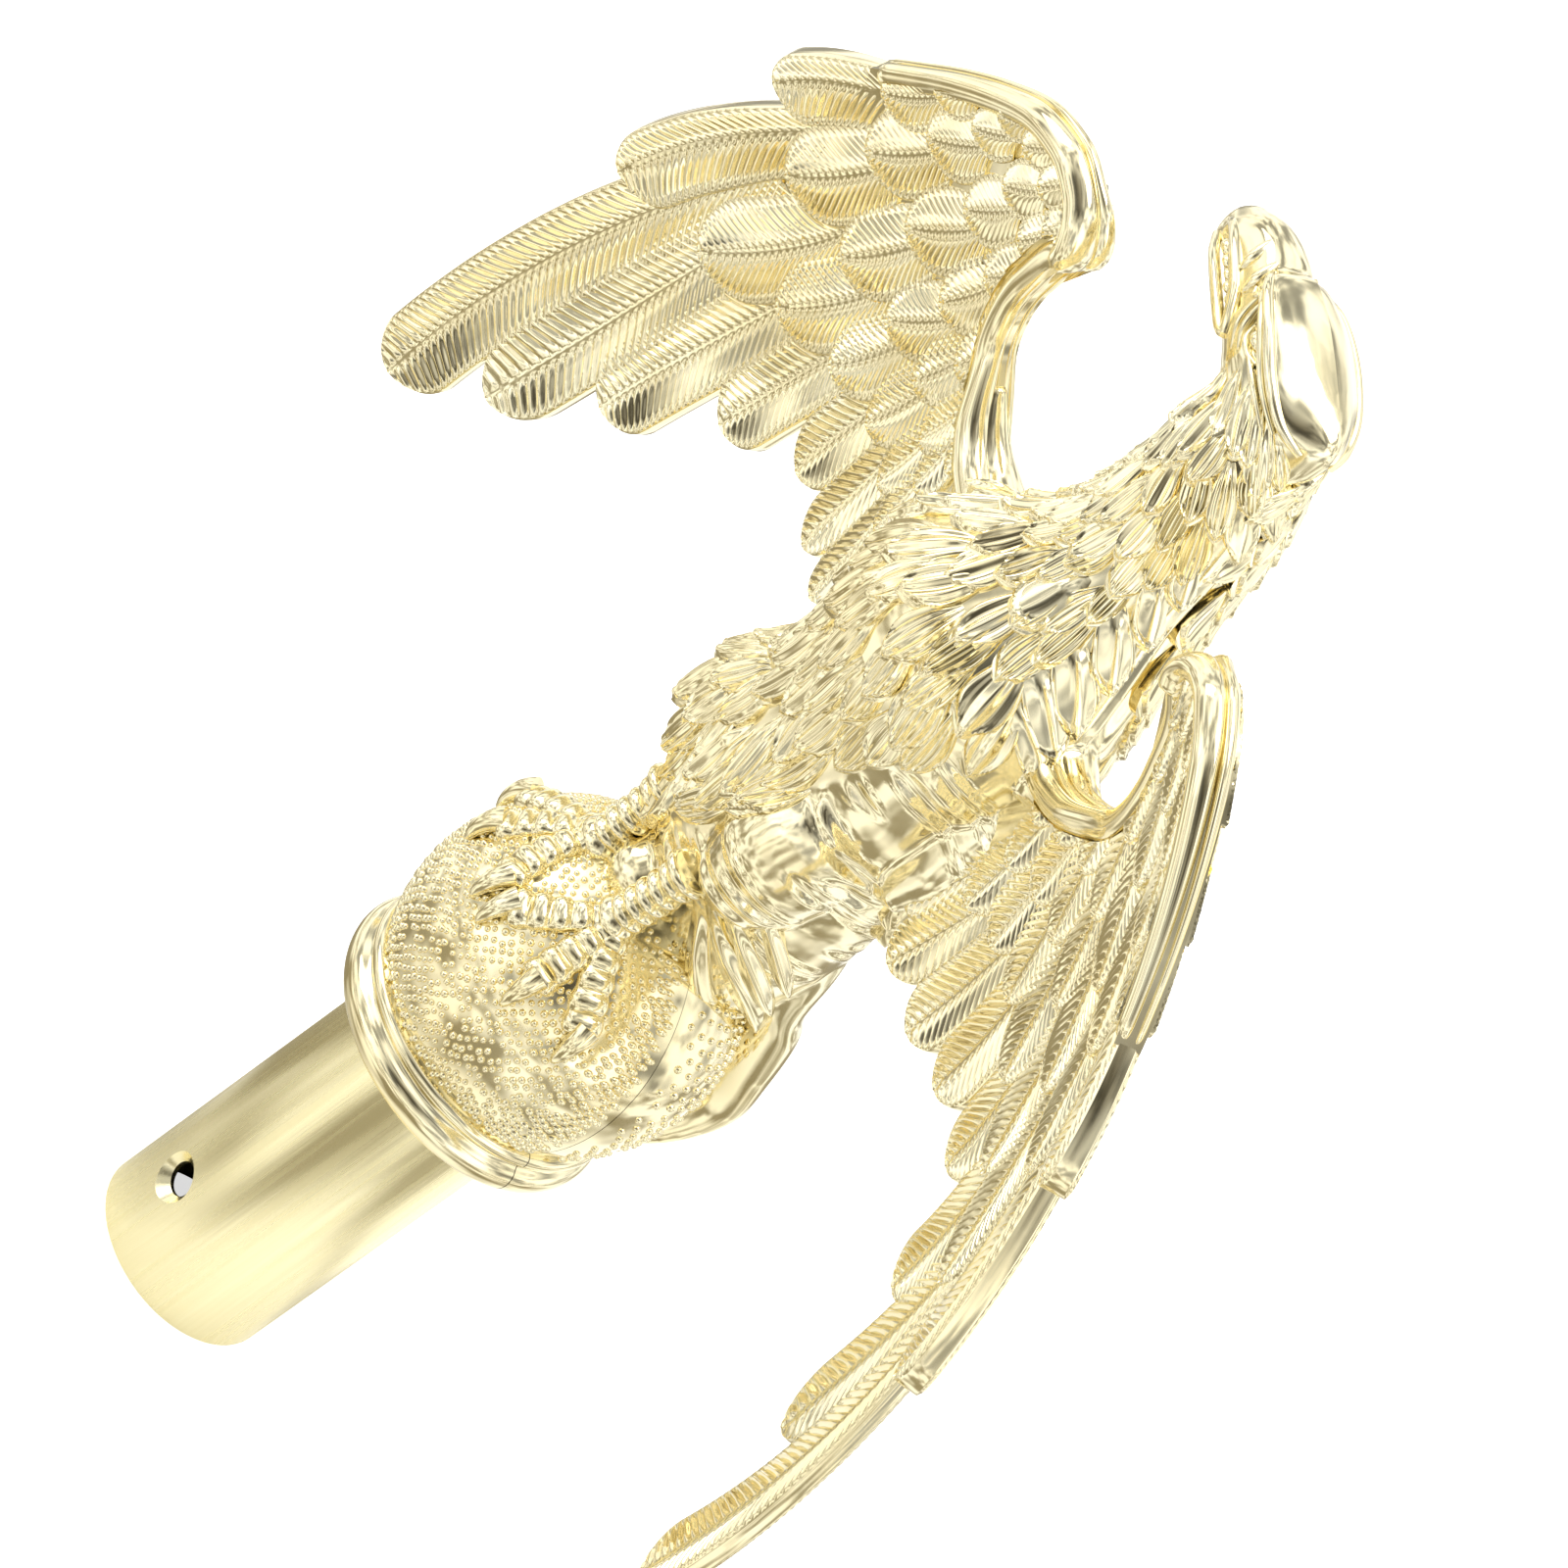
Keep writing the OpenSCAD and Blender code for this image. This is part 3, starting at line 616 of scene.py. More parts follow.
PLUME_COLUMNS = np.concatenate([[-1, -.96], np.linspace(-.9, .9, 31), [.96, 1]])
# Rows along a plume, and how far its edges reach into the body
PLUME_ROWS = 22
PLUME_SUNK = 0.8


def plume(shape, ground, start, direction, length, half, grooves, lift, depth, bend, camber=0.2, rim=0.2,
          root=0.35, tip_from=0.5):
    """One body feather: a narrow root, a tip that lifts, and grooves of some depth that fan out to the tip.
    camber is its roundness, rim the height of its edge and bend its sideways turn."""
    fit = ground.patch(start, direction, length, half)
    q = (1 - (1 - np.linspace(0, 1, PLUME_ROWS + 1)) ** 1.35)[:, None]
    v = PLUME_COLUMNS[None, :]
    t = v * outline(q, root, tip_from) + bend * (q - 0.35) ** 2
    middle = patch_terms(q, t) @ fit
    step = 0.01
    ds = patch_terms(q + step, t) @ fit - middle
    dt = patch_terms(q, t + step) @ fit - middle
    normal = unit(np.cross(ds, dt))
    centre = PLUME_ROWS // 2, len(PLUME_COLUMNS) // 2
    if normal[centre] @ ground.at(middle[centre])[1] < 0:
        normal = -normal
    radius = np.sqrt(np.clip(v ** 2 * 0.9 + smoothstep(tip_from, 1, q) ** 2 * 0.99, 0, 1))
    inside = (1 - smoothstep(0.8, 0.95, radius)) * smoothstep(0.02, 0.3, q)
    h = lift * q ** 0.9 + camber * half * (1 - v ** 2) * smoothstep(0, 0.35, q)
    h += depth * inside * np.cos(np.pi * (grooves + 0.5) * v + 0.9 * bend)
    h += rim * smoothstep(0.74, 0.88, radius) * smoothstep(0.2, 0.5, q)
    h -= (0.3 + 0.25 * lift) * smoothstep(0.9, 1, radius)
    shape.sheet(middle + normal * h[..., None], (middle - normal * PLUME_SUNK)[:, [0, -1]])


def plume_between(shape, ground, start, end, half, side=1, longer=1.0, **form):
    """A plume from start to end, mirrored to the right side of the eagle where side is -1."""
    a, b = (np.array(p, float) * (side, 1, 1) for p in (start, end))
    plume(shape, ground, a, b - a, longer * float(np.linalg.norm(b - a)), half, **form)


# Beginning and end of each long flank feather on the left side, and its half width
TAIL_FEATHERS = [
    ((13, -7.5, 122), (14.6, 12, 107), 1.5), ((12.4, -8.6, 118.5), (14, 15, 100), 1.7),
    ((11.5, -9.4, 115), (13.6, 19, 92), 1.9), ((10.4, -10, 111.5), (13.4, 14.5, 90), 1.9)]


def body_point(heading, z):
    """Place on the body's side at a heading from the breast (-Y) towards +X."""
    x, y, a, b = body_axis(z)
    k = math.radians(heading)
    return np.array([x + a * math.sin(k), y - b * math.cos(k), z])


def plumage_reach(z, back):
    """How far round from the breast, or from the middle of the back, the rows of feathers reach."""
    if back:
        return 74 if z > 186 else 58
    return 84 if z > 176 else 57


# Heights of the feathers' top and lowest rows
TOP_ROW, LOWEST_ROW = 213.5, 133


def body_plumage(ground, back):
    """Feathers over the neck, the breast and the thighs, or over the nape and the back."""
    shape = Shape()
    z, row = TOP_ROW, 0
    while z > LOWEST_ROW:
        # Feathers are smaller on the neck, and stand out more on the lower breast
        neck = float(smoothstep(172, 196, z))
        low = float(1 - smoothstep(146, 158, z))
        length, half = (13.5, 3.1) if z < 150 else (13 - 3.2 * neck, 3.4 - 1.1 * neck)
        reach = plumage_reach(z, back)
        _, _, a, b = body_axis(z)
        step = math.degrees(half * 1.8 / ((a + b) / 2))
        count = int(2 * reach / step)
        for n in range(count + 1):
            heading = (n - count / 2) * step + (step / 2 if row % 2 else 0) + rng.normal(0, step * 0.12)
            if abs(heading) > reach:
                continue
            twist = 34 * float(smoothstep(194, 210, z)) * (-1 if back else 1)
            spread = heading * (0.30 if z < 180 else 0.10)
            lean = math.radians(twist + spread + rng.normal(0, 6))
            real = heading + (180 if back else 0)
            k = math.radians(real)
            direction = math.cos(k) * math.sin(lean), math.sin(k) * math.sin(lean), -math.cos(lean)
            start = body_point(real, z + rng.normal(0, 0.7))
            smooth = (heading > 50 and z > 176) or back
            if smooth and not back and z < 206:
                continue
            if not back and z < 186 and abs(heading) > flank_edge(z - length, heading):
                continue
            size = length * rng.uniform(0.9, 1.15), half * rng.uniform(0.85, 1.15)
            plume(shape, ground, start, direction, *size, grooves=int(rng.integers(2, 5)),
                  lift=1.0 + 0.35 * low + (0.15 if smooth else rng.uniform(-0.1, 0.3)),
                  depth=0.05 if smooth else rng.uniform(0.22, 0.34) + 0.08 * low,
                  bend=rng.uniform(-0.4, 0.4), camber=0.2 + 0.08 * low)
        z -= 3.9 + 1.1 * (1 - neck) + 1.3 * low
        row += 1
    side = 1 if back else -1
    for start, end, half in CHEEK_FEATHERS:
        start, end = (np.array(p) * (1, -side, 1) for p in (start, end))
        plume_between(shape, ground, start, end, half, grooves=2, lift=0.8, depth=0.2, rim=0.15,
                      bend=-0.5 * side)
    if not back:
        shoulder_lobes(shape, ground)
        thigh_plumage(shape, ground)
    return shape


# Smooth lobes over the left shoulder: beginning, end, half width
SHOULDER_LOBES = [
    ((15, -13, 172.2), (21, -3.8, 167.6), 2.3), ((12.2, -13.4, 177), (19.4, -3.8, 170.8), 2.9),
    ((10.6, -11.8, 182.6), (17.6, -3.2, 175.2), 3.2), ((9.8, -9.6, 189), (15.2, -3, 181.6), 2.9),
    ((9.6, -8, 195.6), (13.2, -2.8, 188), 2.6), ((8.4, -7.2, 202.4), (11.4, -2.8, 194.8), 2.3),
    ((5, -11.6, 187.5), (6.6, -13.2, 177.8), 3.4)]


def shoulder_lobes(shape, ground):
    """Large smooth feathers that lie over the left shoulder towards the wing."""
    for start, end, half in SHOULDER_LOBES:
        plume_between(shape, ground, start, end, half, longer=1.12, grooves=1, lift=1.0, depth=0.1,
                      bend=0.5, camber=0.28, rim=0.3, root=0.5, tip_from=0.6)


# Height of the top row of thigh feathers, and how far out it reaches on the left and on the right thigh
THIGH_TOP = 139
THIGH_REACH = {1: 9.5, -1: 16}


def thigh_plumage(shape, ground):
    """Feathers on both thighs, fanning down and outwards, and the long ones from the flank to the tail."""
    (x, y, middle_z), (wide, deep, _) = THIGH
    for side in (-1, 1):
        for row, z in enumerate(np.arange(THIGH_TOP, 118, -5)):
            for n in range(4):
                heading = -36 + 22 * n + (11 if row % 2 else 0) + rng.normal(0, 2)
                k = math.radians(heading)
                share = math.sqrt(max(1 - ((z - middle_z) / 17) ** 2, 0.05))
                start = np.array([side * (x + wide * share * math.sin(k)), y - deep * share * math.cos(k), z])
                if abs(start[0]) > THIGH_REACH[side] - 0.44 * (THIGH_TOP - z):
                    continue
                lean = math.radians(0.45 * heading + rng.normal(0, 7))
                direction = side * math.sin(lean), 0.1, -math.cos(lean)
                size = 12 * rng.uniform(0.9, 1.15), 3.1 * rng.uniform(0.85, 1.1)
                plume(shape, ground, start, direction, *size, grooves=int(rng.integers(2, 5)), lift=1.3,
                      depth=rng.uniform(0.26, 0.36), bend=rng.uniform(-0.4, 0.4), camber=0.28)
        for start, end, half in TAIL_FEATHERS:
            plume_between(shape, ground, start, end, half, side, grooves=1, lift=1.1, depth=0.14, bend=0.3,
                          camber=0.6, rim=0.0, root=0.6)


# ---------------------------------------------------------------- ball, collar, legs and feet

def ball_point(r, heading, tilt):
    """Point at radius r from the ball's middle, at a heading from -Y and a tilt up, in degrees."""
    h, t = np.radians(heading), np.radians(tilt)
    return np.stack([r * np.sin(h) * np.cos(t), -r * np.cos(h) * np.cos(t), BALL_Z + r * np.sin(t)], -1)


def part_lathe(shape, profile, back, gap, steps=120):
    """Half of a solid turned about the tube's axis, this many degrees short of the seam at both ends."""
    start = (90 if back else -90) + gap
    stop = start + 180 - 2 * gap
    r, z = np.asarray(profile, float).T
    headings = np.radians(np.linspace(start, stop, steps))
    shape.rings([np.stack([r * np.sin(h), -r * np.cos(h), z], -1) for h in headings])


# The ball's inner side as a share of its outer one, the lowest and highest tilt of its dots, and the share
# of them left out
BALL_WALL = 0.9
DOT_TILTS = (-31, 66)
DOTS_MISSING = 0.06
# Rings of a dot from its foot up: share of its size, and height
DOT_SHAPE = ((1.12, -0.12), (1.0, 0.06), (0.78, 0.3), (0.42, 0.44))


def ball_half(back):
    """Half of the ball with its raised dots."""
    shape = Shape()
    tilts = np.radians(np.linspace(-42, 88, 54))
    arc = np.stack([np.cos(tilts), np.sin(tilts)], -1) * BALL_R
    part_lathe(shape, np.concatenate([arc, BALL_WALL * arc[::-1]]) + (0, BALL_Z), back, 0.15)
    spacing, smallest, largest = (2.5, 0.5, 0.62) if back else (1.42, 0.42, 0.58)
    count = int(4 * math.pi * BALL_R ** 2 / (spacing ** 2 * 0.87))
    golden = math.pi * (3 - math.sqrt(5))
    ring = full_turn(8)
    for n in range(count):
        tilt = math.degrees(math.asin(1 - 2 * (n + 0.5) / count)) + rng.normal(0, 0.35)
        heading = math.degrees(n * golden) % 360 - 180 + rng.normal(0, 0.35)
        ahead = abs(heading)
        if tilt < DOT_TILTS[0] or tilt > DOT_TILTS[1] or (ahead < 97 if back else ahead > 86):
            continue
        size = rng.uniform(smallest, largest)
        if rng.random() < DOTS_MISSING:
            continue
        middle = ball_point(BALL_R, heading, tilt)
        out = unit(middle - (0, 0, BALL_Z))
        side = unit(np.cross(out, (0, 0, 1)))
        stretch = 1 if back else 1 + 0.9 * float(smoothstep(62, 85, ahead))
        circle = np.outer(np.cos(ring) * stretch, side) + np.outer(np.sin(ring), np.cross(side, out))
        shape.rings([middle + size * (share * circle + 2 * rise * out) for share, rise in DOT_SHAPE])
    return shape


COLLAR_PROFILE = [
    (15.3, 57.2), (19.2, 57), (20.8, 57.2), (22, 58), (22.7, 59.3), (22.8, 60.6), (22.3, 61.8),
    (21.5, 62.5), (21.2, 62.9), (21.4, 63.3), (21.9, 63.8), (22, 64.5), (21.6, 65.2), (20.7, 65.6),
    (19.4, 66), (17.6, 66.4), (15.3, 66.2)]

# The ankle and knee, and headings and tilts on the ball of the toes' ends and of the ankle
ANKLE, KNEE = np.array([6.2, -11.4, 99]), np.array([6.8, -11.2, 113.5])
TOE_ENDS = [(5, 28), (33, 24), (57, 25)]
ANKLE_AT = (31, 62)
# Rings on each leg and each toe
LEG_RINGS, TOE_RINGS = 6.5, 6


def leg():
    """Rings of the left leg, with a ridge at each ring, wider at the knee."""
    q = np.linspace(0, 1, 72)
    ridge = np.abs(np.cos(np.pi * q * LEG_RINGS))
    radii = 2.1 + 1.0 * ridge ** 0.6 + 0.9 * smoothstep(0.7, 1, q)
    return tube(ANKLE + (KNEE - ANKLE) * q[:, None], radii, 22, up=(0, 1, 0))


def toe(heading, tilt):
    """Rings of a toe with its ridges, from the ankle over the ball, wider towards its end."""
    q = np.linspace(0, 1, 84)
    ridge = np.abs(np.cos(np.pi * (q * TOE_RINGS + 0.5)))
    spine = ball_point(BALL_R + 0.35 * np.sin(np.pi * q), ANKLE_AT[0] + (heading - ANKLE_AT[0]) * q,
                       ANKLE_AT[1] + (tilt - ANKLE_AT[1]) * q)
    out = unit(spine - (0, 0, BALL_Z))
    across = unit(np.cross(unit(np.gradient(spine, axis=0)), out))
    # A circle with fuller corners
    a = full_turn(24)
    ca = np.sign(np.cos(a)) * np.abs(np.cos(a)) ** 0.75
    sa = np.sign(np.sin(a)) * np.abs(np.sin(a)) ** 0.75
    close = np.sqrt(np.clip(1 - smoothstep(0.95, 1.02, q) ** 2, 0, 1))
    width = close * (1.7 + 1.15 * smoothstep(0, 0.9, q)) * (0.88 + 0.12 * ridge)
    tall = close * (1.5 + 0.5 * q) * (0.6 + 0.45 * ridge ** 0.7)
    return (spine[:, None] + np.outer(width, ca)[..., None] * across[:, None]
            + np.outer(tall, sa)[..., None] * out[:, None])


def claw(heading, tilt):
    """Rings of a claw that curves down from the end of its toe to the ball."""
    q = np.linspace(0, 1, 18)
    spine = ball_point(BALL_R + 1.4 - 1.3 * q ** 1.6 + 0.5 * np.sin(np.pi * q), np.full(18, float(heading)),
                       tilt + 3.5 - 16 * q)
    return tube(spine, 1.7 * (1 - q) ** 0.6 + 0.2, 16, up=(0.3, 0.2, 1))


def feet(shape):
    """Both ringed legs, their ankles, toes and claws."""
    for side in (-1, 1):
        for rings in (leg(), ellipsoid((6.2, -11.9, 99), (3.6, 3.1, 3), 24)):
            shape.rings(rings * (side, 1, 1))
        for end in TOE_ENDS:
            shape.rings(toe(*end) * (side, 1, 1))
            shape.rings(claw(*end) * (side, 1, 1))


# Soft bars on the left side of the head: points, thickness at the ends and in the middle, and how soon the
# bar swells
FACE_BARS = [
    # Brow rims, one under the other, from the beak to the back of the head
    ([(-22, 4.6, 222.4), (-18.5, 7, 222.9), (-12, 8.2, 222.1), (-5, 8.1, 220.3), (0, 6.2, 218.6),
      (3.2, 3, 218)], 0.35, 0.85, 0.4),
    ([(-20.4, 5.4, 220.8), (-17, 7.2, 221.6), (-11.5, 8.2, 220.5), (-5, 8.1, 218.7), (0.4, 6.1, 217.1)],
     0.2, 0.55, 0.5),
    ([(-13, 7.3, 217.6), (-9, 8, 217.8), (-5, 8, 217.3), (0, 6.4, 215.7)], 0.2, 0.5, 1),
    # Lids of the eye and the folds in front of it
    ([(-15.2, 6.5, 219.3), (-13.4, 7.6, 220.5), (-11, 7.8, 220.1), (-9.2, 7.6, 218.6)], 0.2, 0.45, 1),
    ([(-15.2, 6.5, 219.1), (-13.6, 7.6, 218), (-11.4, 7.8, 217.7), (-9.2, 7.6, 218.4)], 0.2, 0.45, 1),
    ([(-18, 6, 221.3), (-17, 6.5, 219.2), (-15.6, 6.9, 217.3), (-13, 7.4, 216.3)], 0.2, 0.5, 1),
    ([(-19.2, 5.7, 220.4), (-18.4, 6.1, 218.2), (-17, 6.4, 216.3), (-14, 7, 215)], 0.2, 0.5, 1),
    # Nostril and cere folds on the beak
    ([(-20.6, 5.3, 221.4), (-19.4, 5.9, 220.6), (-20, 5.6, 219.6), (-21.2, 5.2, 220)], 0.25, 0.42, 1),
    ([(-23.6, 3.6, 223), (-22.4, 4.9, 220.6), (-21.8, 5.2, 217.8)], 0.3, 0.95, 1),
    ([(-27.6, 3, 222.8), (-26.2, 4.3, 220.4), (-25.4, 4.6, 217.8)], 0.3, 0.9, 1),
    # Mouth rims
    ([(-35.6, 1.3, 216.4), (-33, 3, 217.7), (-28.5, 4.4, 217.7), (-23.5, 5.2, 216.9), (-19.5, 5.8, 215.2),
      (-17.6, 5.9, 213.8)], 0.55, 0.95, 0.4),
    ([(-35.6, 1, 213.4), (-32, 2.8, 213.4), (-27.5, 4, 213.4), (-22.5, 5.1, 213.3), (-19, 5.7, 213.2),
      (-17.6, 5.9, 213.8)], 0.55, 0.85, 0.4)]
# The eye, and the lumps of the tongue: middle and half sizes, then middle and size
EYE = ((-12.2, 6.7, 219.4), (1.9, 1.5, 1.25))
TONGUE = [
    ((-31.2, 2.7, 215.7), 1.2), ((-29, 3.2, 215.4), 0.95), ((-26.8, 3.7, 215.3), 0.8),
    ((-24.8, 4.1, 215), 0.85), ((-22.8, 4.5, 214.8), 0.7)]


def face_details(shape, side):
    """Brow, eye, cere folds, mouth rims and tongue on one side of the head; side -1 is the eagle's left."""
    q = np.linspace(0, 1, 40)
    for points, low, high, power in FACE_BARS:
        swell = np.sin(np.pi * np.clip(q, 0.02, 0.98)) ** power
        path = curve(points, len(q)) * (1, side, 1)
        shape.rings(tube(path, low + (high - low) * swell, 12, up=(0.1, 0.2, 1)))
    shape.rings(ellipsoid(EYE[0], EYE[1], 24) * (1, side, 1))
    for middle, r in TONGUE:
        shape.rings(ellipsoid(middle, np.array([1.2, 0.9, 0.8]) * r, 16) * (1, side, 1))


# ---------------------------------------------------------------- materials

def add_node(tree, kind, settings=(), **inputs):
    """A shader node with its settings made, and its inputs set to values or linked to sockets. An input's
    name has _ for a space."""
    made = tree.nodes.new(f"ShaderNode{kind}")
    for name, value in settings:
        setattr(made, name, value)
    for name, value in inputs.items():
        socket = made.inputs[name.replace("_", " ")]
        if isinstance(value, bpy.types.NodeSocket):
            tree.links.new(value, socket)
        else:
            socket.default_value = value
    return made


def noise(tree, scale, detail=3, stretch=(1, 1, 1), shift=(0, 0, 0)):
    """A noise pattern in object space."""
    place = add_node(tree, "TexCoord").outputs["Object"]
    mapping = add_node(tree, "Mapping", Vector=place, Scale=stretch, Location=shift)
    return add_node(tree, "TexNoise", Vector=mapping.outputs[0], Scale=scale, Detail=detail).outputs["Fac"]


def ramp(tree, source, low, high, noise_low=0.35, noise_high=0.65):
    """A noise pattern's middle range, mapped to low..high."""
    return add_node(tree, "MapRange", Value=source, From_Min=noise_low, From_Max=noise_high, To_Min=low,
                    To_Max=high).outputs[0]


def mix_colour(tree, factor, a, b):
    """A colour between a and b, which are colours or sockets."""
    a, b = (c if isinstance(c, bpy.types.NodeSocket) else (*c, 1) for c in (a, b))
    return add_node(tree, "Mix", [("data_type", "RGBA")], A=a, B=b, Factor=factor).outputs["Result"]


def shader(name, metallic, rough):
    """A node material with its main parts ready."""
    m = bpy.data.materials.new(name)
    m.use_nodes = True
    m.node_tree.nodes.clear()
    surface = add_node(m.node_tree, "BsdfPrincipled", Metallic=metallic, Roughness=rough)
    add_node(m.node_tree, "OutputMaterial", Surface=surface.outputs[0])
    return m, m.node_tree, surface


def patterned(name, metallic, colours, roughness, bump, *patterns):
    """A material with noise patterns (scale, detail, stretch) for its colour, roughness and unevenness."""
    m, tree, surface = shader(name, metallic, roughness[0])
    colour, rough, height = (noise(tree, *p) for p in patterns)
    uneven = add_node(tree, "Bump", Strength=bump[0], Distance=bump[1], Height=height)
    tree.links.new(mix_colour(tree, ramp(tree, colour, 0, 1), *colours), surface.inputs["Base Color"])
    tree.links.new(ramp(tree, rough, *roughness), surface.inputs["Roughness"])
    tree.links.new(uneven.outputs[0], surface.inputs["Normal"])
    return m


# Bright vacuum-plated pale gold: nearly a mirror, a little cloudy, slightly uneven underneath
gold = patterned("plated_gold", 1, ((0.94, 0.86, 0.6), (0.91, 0.8, 0.5)), (0.07, 0.16), (0.1, 0.0005),
                 (60, 3), (220, 4), (140, 2))
# Satin pale gold of the tube, with faint scuffs along it
SCUFFS = (900, 5, (1, 1, 0.02))
satin = patterned("satin_gold", 1, ((0.99, 0.91, 0.6), (0.96, 0.87, 0.54)), (0.2, 0.3), (0.12, 0.0002),
                  SCUFFS, SCUFFS, (1500, 3, (1, 1, 0.03)))
# Beech plug with fine grain along the tube
GRAIN = (500, 6, (1, 1, 0.06))
wood = patterned("beech", 0, ((0.68, 0.48, 0.29), (0.5, 0.32, 0.17)), (0.45, 0.7), (0.3, 0.0002),
                 GRAIN, GRAIN, GRAIN)
# Brushed steel pins
BRUSHED = (1200, 4, (0.05, 1, 1))
steel = patterned("pin_steel", 1, ((0.66, 0.66, 0.64), (0.5, 0.5, 0.49)), (0.22, 0.42), (0.15, 0.0001),
                  BRUSHED, BRUSHED, BRUSHED)


# ---------------------------------------------------------------- pieces

def plated(obj, node):
    """Hands a finished gold piece to the frame, in place of a CAD node."""
    obj.data.materials.clear()
    obj.data.materials.append(gold)
    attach(obj, "root")
    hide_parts(node)


points, faces = base_body()
ground = Ground(points, faces)
carved = carve_body(points)
for name, is_front in (("front_shell", True), ("back_shell", False)):
    half_data = split_body(carved, faces, is_front)
    seam_step(half_data, is_front)
    half_data.shade_smooth()
    half_data.set_sharp_from_angle(angle=math.radians(BODY_SHARP_ANGLE))
    plated(add_object(f"{name}_body", half_data), name)
    plated(body_plumage(ground, not is_front).mesh(f"{name}_plumage"), name)
    ball = ball_half(not is_front)
    part_lathe(ball, curve(COLLAR_PROFILE, 70), not is_front, 0.2)
    features = Shape()
    face_details(features, -1 if is_front else 1)
    plated(features.mesh(f"{name}_face"), name)
    plated(ball.mesh(f"{name}_ball"), name)

legs = Shape()
feet(legs)
plated(legs.mesh("front_shell_feet"), "front_shell")

for wing_name in ("right_wing", "left_wing"):
    for skin_name in ("front", "back"):
        name = f"{wing_name}_{skin_name}"
        plated(wing_skin(wing_name == "left_wing", skin_name == "front").mesh(f"{name}_skin"), name)

for name, material in (("ferrule_tube", satin), ("tube_plug", wood), ("cross_pin", steel),
                       ("shell_pins", steel), ("wing_pins", steel)):
    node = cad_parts[name]
    node.data.materials.clear()
    node.data.materials.append(material)

# ---------------------------------------------------------------- stage, light and camera

# The camera stands in front of the breast, to the eagle's left, and looks down
AZIMUTH, ELEVATION = math.radians(38.3), math.radians(32.3)
CAMERA_DISTANCE = 1.2
AIM_AT = Vector((0, 0, 0.11))
SHIFT_RIGHT, SHIFT_UP = -0.0039, 0.0122
# The object leans this far to the right in the picture
CAMERA_ROLL = math.radians(54.12)
LENS, SENSOR = 207.7, 36

towards = Vector((math.sin(AZIMUTH) * math.cos(ELEVATION), -math.cos(AZIMUTH) * math.cos(ELEVATION),
                  math.sin(ELEVATION)))
right = Vector((math.cos(AZIMUTH), math.sin(AZIMUTH), 0))
up = towards.cross(right)
camera_x = right * math.cos(CAMERA_ROLL) + up * math.sin(CAMERA_ROLL)
camera_y = up * math.cos(CAMERA_ROLL) - right * math.sin(CAMERA_ROLL)
camera_data = bpy.data.cameras.new("camera")
camera_data.lens, camera_data.sensor_width = LENS, SENSOR
camera_data.clip_start, camera_data.clip_end = 0.05, 20
camera = add_object("camera", camera_data)
matrix = Matrix((camera_x, camera_y, towards)).transposed().to_4x4()
matrix.translation = AIM_AT + right * SHIFT_RIGHT + up * SHIFT_UP + towards * CAMERA_DISTANCE
camera.matrix_world = matrix
bpy.context.scene.camera = camera

WHITE = (1, 1, 1, 1)
FLOOR_HALF = 0.5
FLOOR_COLOUR = (0.8, 0.8, 0.79)
# Size and place of the darker patches that only reflections see on the floor, and their two colours
FLOOR_PATCHES = 11
FLOOR_SHIFT = (0.3, 0.3, 0)
DARK_PATCH, PALE_PATCH = (0.26, 0.23, 0.16), (0.98, 0.98, 0.97)
# Light from the room: from opposite the camera (0) to behind it (1)
ROOM_LEVELS = [(0.1, 0.66), (0.2, 0.66), (0.36, 1.0), (0.6, 1.0), (0.8, 0.78), (0.9, 0.5)]
ROOM_ENDS = ((0.8, 0.8, 0.78, 1), (0.12, 0.11, 0.09, 1))
WORLD_STRENGTH = 1.87


def floor_material():
    """A pale floor that is plain to the camera and patchy in reflections."""
    m, tree, surface = shader("pale_floor", 0, 0.85)
    seen = add_node(tree, "LightPath").outputs["Is Camera Ray"]
    glow = add_node(tree, "Math", [("operation", "MULTIPLY")], Value=seen)
    glow.inputs[1].default_value = 0.7
    tree.links.new(glow.outputs[0], surface.inputs["Emission Strength"])
    surface.inputs["Emission Color"].default_value = WHITE
    patch = ramp(tree, noise(tree, FLOOR_PATCHES, 2, shift=FLOOR_SHIFT), -0.6, 1.6)
    patchy = mix_colour(tree, patch, DARK_PATCH, PALE_PATCH)
    tree.links.new(mix_colour(tree, seen, patchy, FLOOR_COLOUR), surface.inputs["Base Color"])
    return m


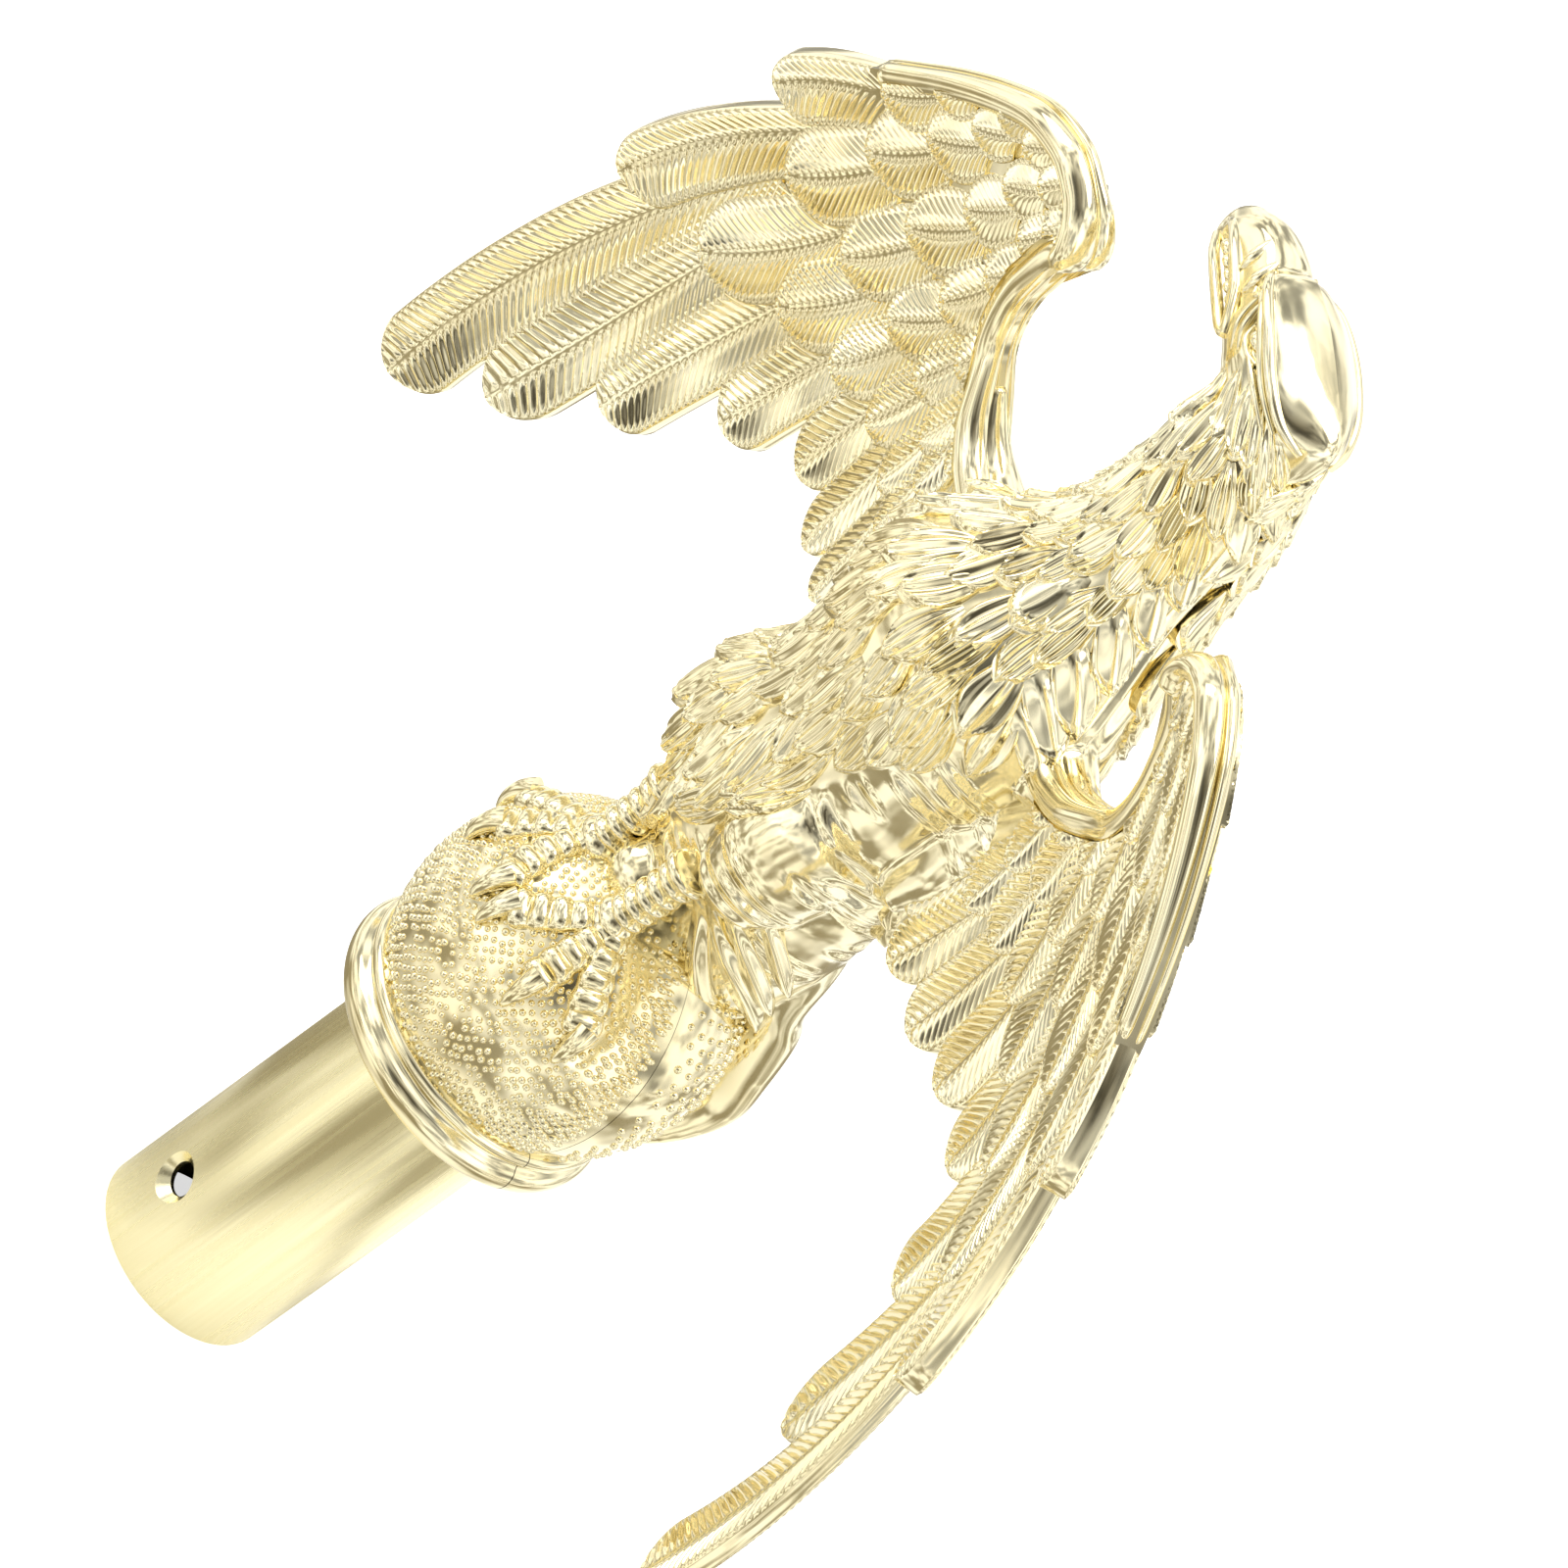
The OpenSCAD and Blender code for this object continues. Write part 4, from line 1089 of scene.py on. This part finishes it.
def studio_world():
    """White studio all round, darker behind the camera, with soft darker patches for reflections. The camera
    itself sees a plain pale backdrop."""
    world = bpy.data.worlds.new("studio")
    world.use_nodes = True
    tree = world.node_tree
    tree.nodes.clear()
    place = add_node(tree, "TexCoord").outputs["Generated"]
    dot = add_node(tree, "VectorMath", [("operation", "DOT_PRODUCT")], Vector=place)
    dot.inputs[1].default_value = towards
    room = add_node(tree, "ValToRGB", Fac=dot.outputs["Value"])
    stops = room.color_ramp.elements
    stops[0].color, stops[1].color = ROOM_ENDS
    for at, level in ROOM_LEVELS:
        stops.new(at).color = (level, level, level * 0.98, 1)
    cloud = add_node(tree, "TexNoise", Vector=place, Scale=3.6, Detail=3)
    patches = ramp(tree, cloud.outputs["Fac"], 0.25, 1, 0.4, 0.56)
    lit = add_node(tree, "VectorMath", [("operation", "SCALE")], Vector=room.outputs["Color"], Scale=patches)
    studio = add_node(tree, "Background", Color=lit.outputs[0], Strength=WORLD_STRENGTH)
    backdrop = add_node(tree, "Background", Color=WHITE)
    seen = add_node(tree, "LightPath").outputs["Is Camera Ray"]
    choose = add_node(tree, "MixShader", Fac=seen, Shader=studio.outputs[0])
    tree.links.new(backdrop.outputs[0], choose.inputs[2])
    add_node(tree, "OutputWorld", Surface=choose.outputs[0])
    bpy.context.scene.world = world


def softbox(name, at, width, height, power):
    """A soft rectangular light aimed at the middle of the object."""
    data = bpy.data.lights.new(name, "AREA")
    data.shape, data.size, data.size_y, data.energy = "RECTANGLE", width, height, power
    light = add_object(name, data)
    light.location = at
    light.rotation_euler = (AIM_AT - Vector(at)).to_track_quat("-Z", "Y").to_euler()


floor_data = bpy.data.meshes.new("floor")
corners = [(x * FLOOR_HALF, y * FLOOR_HALF, 0) for x, y in ((-1, -1), (1, -1), (1, 1), (-1, 1))]
floor_data.from_pydata(corners, [], [(0, 1, 2, 3)])
floor_data.materials.append(floor_material())
add_object("floor", floor_data)
studio_world()
softbox("top_soft", (0.1, 0.1, 1.6), 1.0, 1.0, 8)
softbox("left_soft", (-1.1, -0.9, 0.9), 0.7, 1.0, 6)
bpy.context.scene.view_settings.view_transform = "Standard"
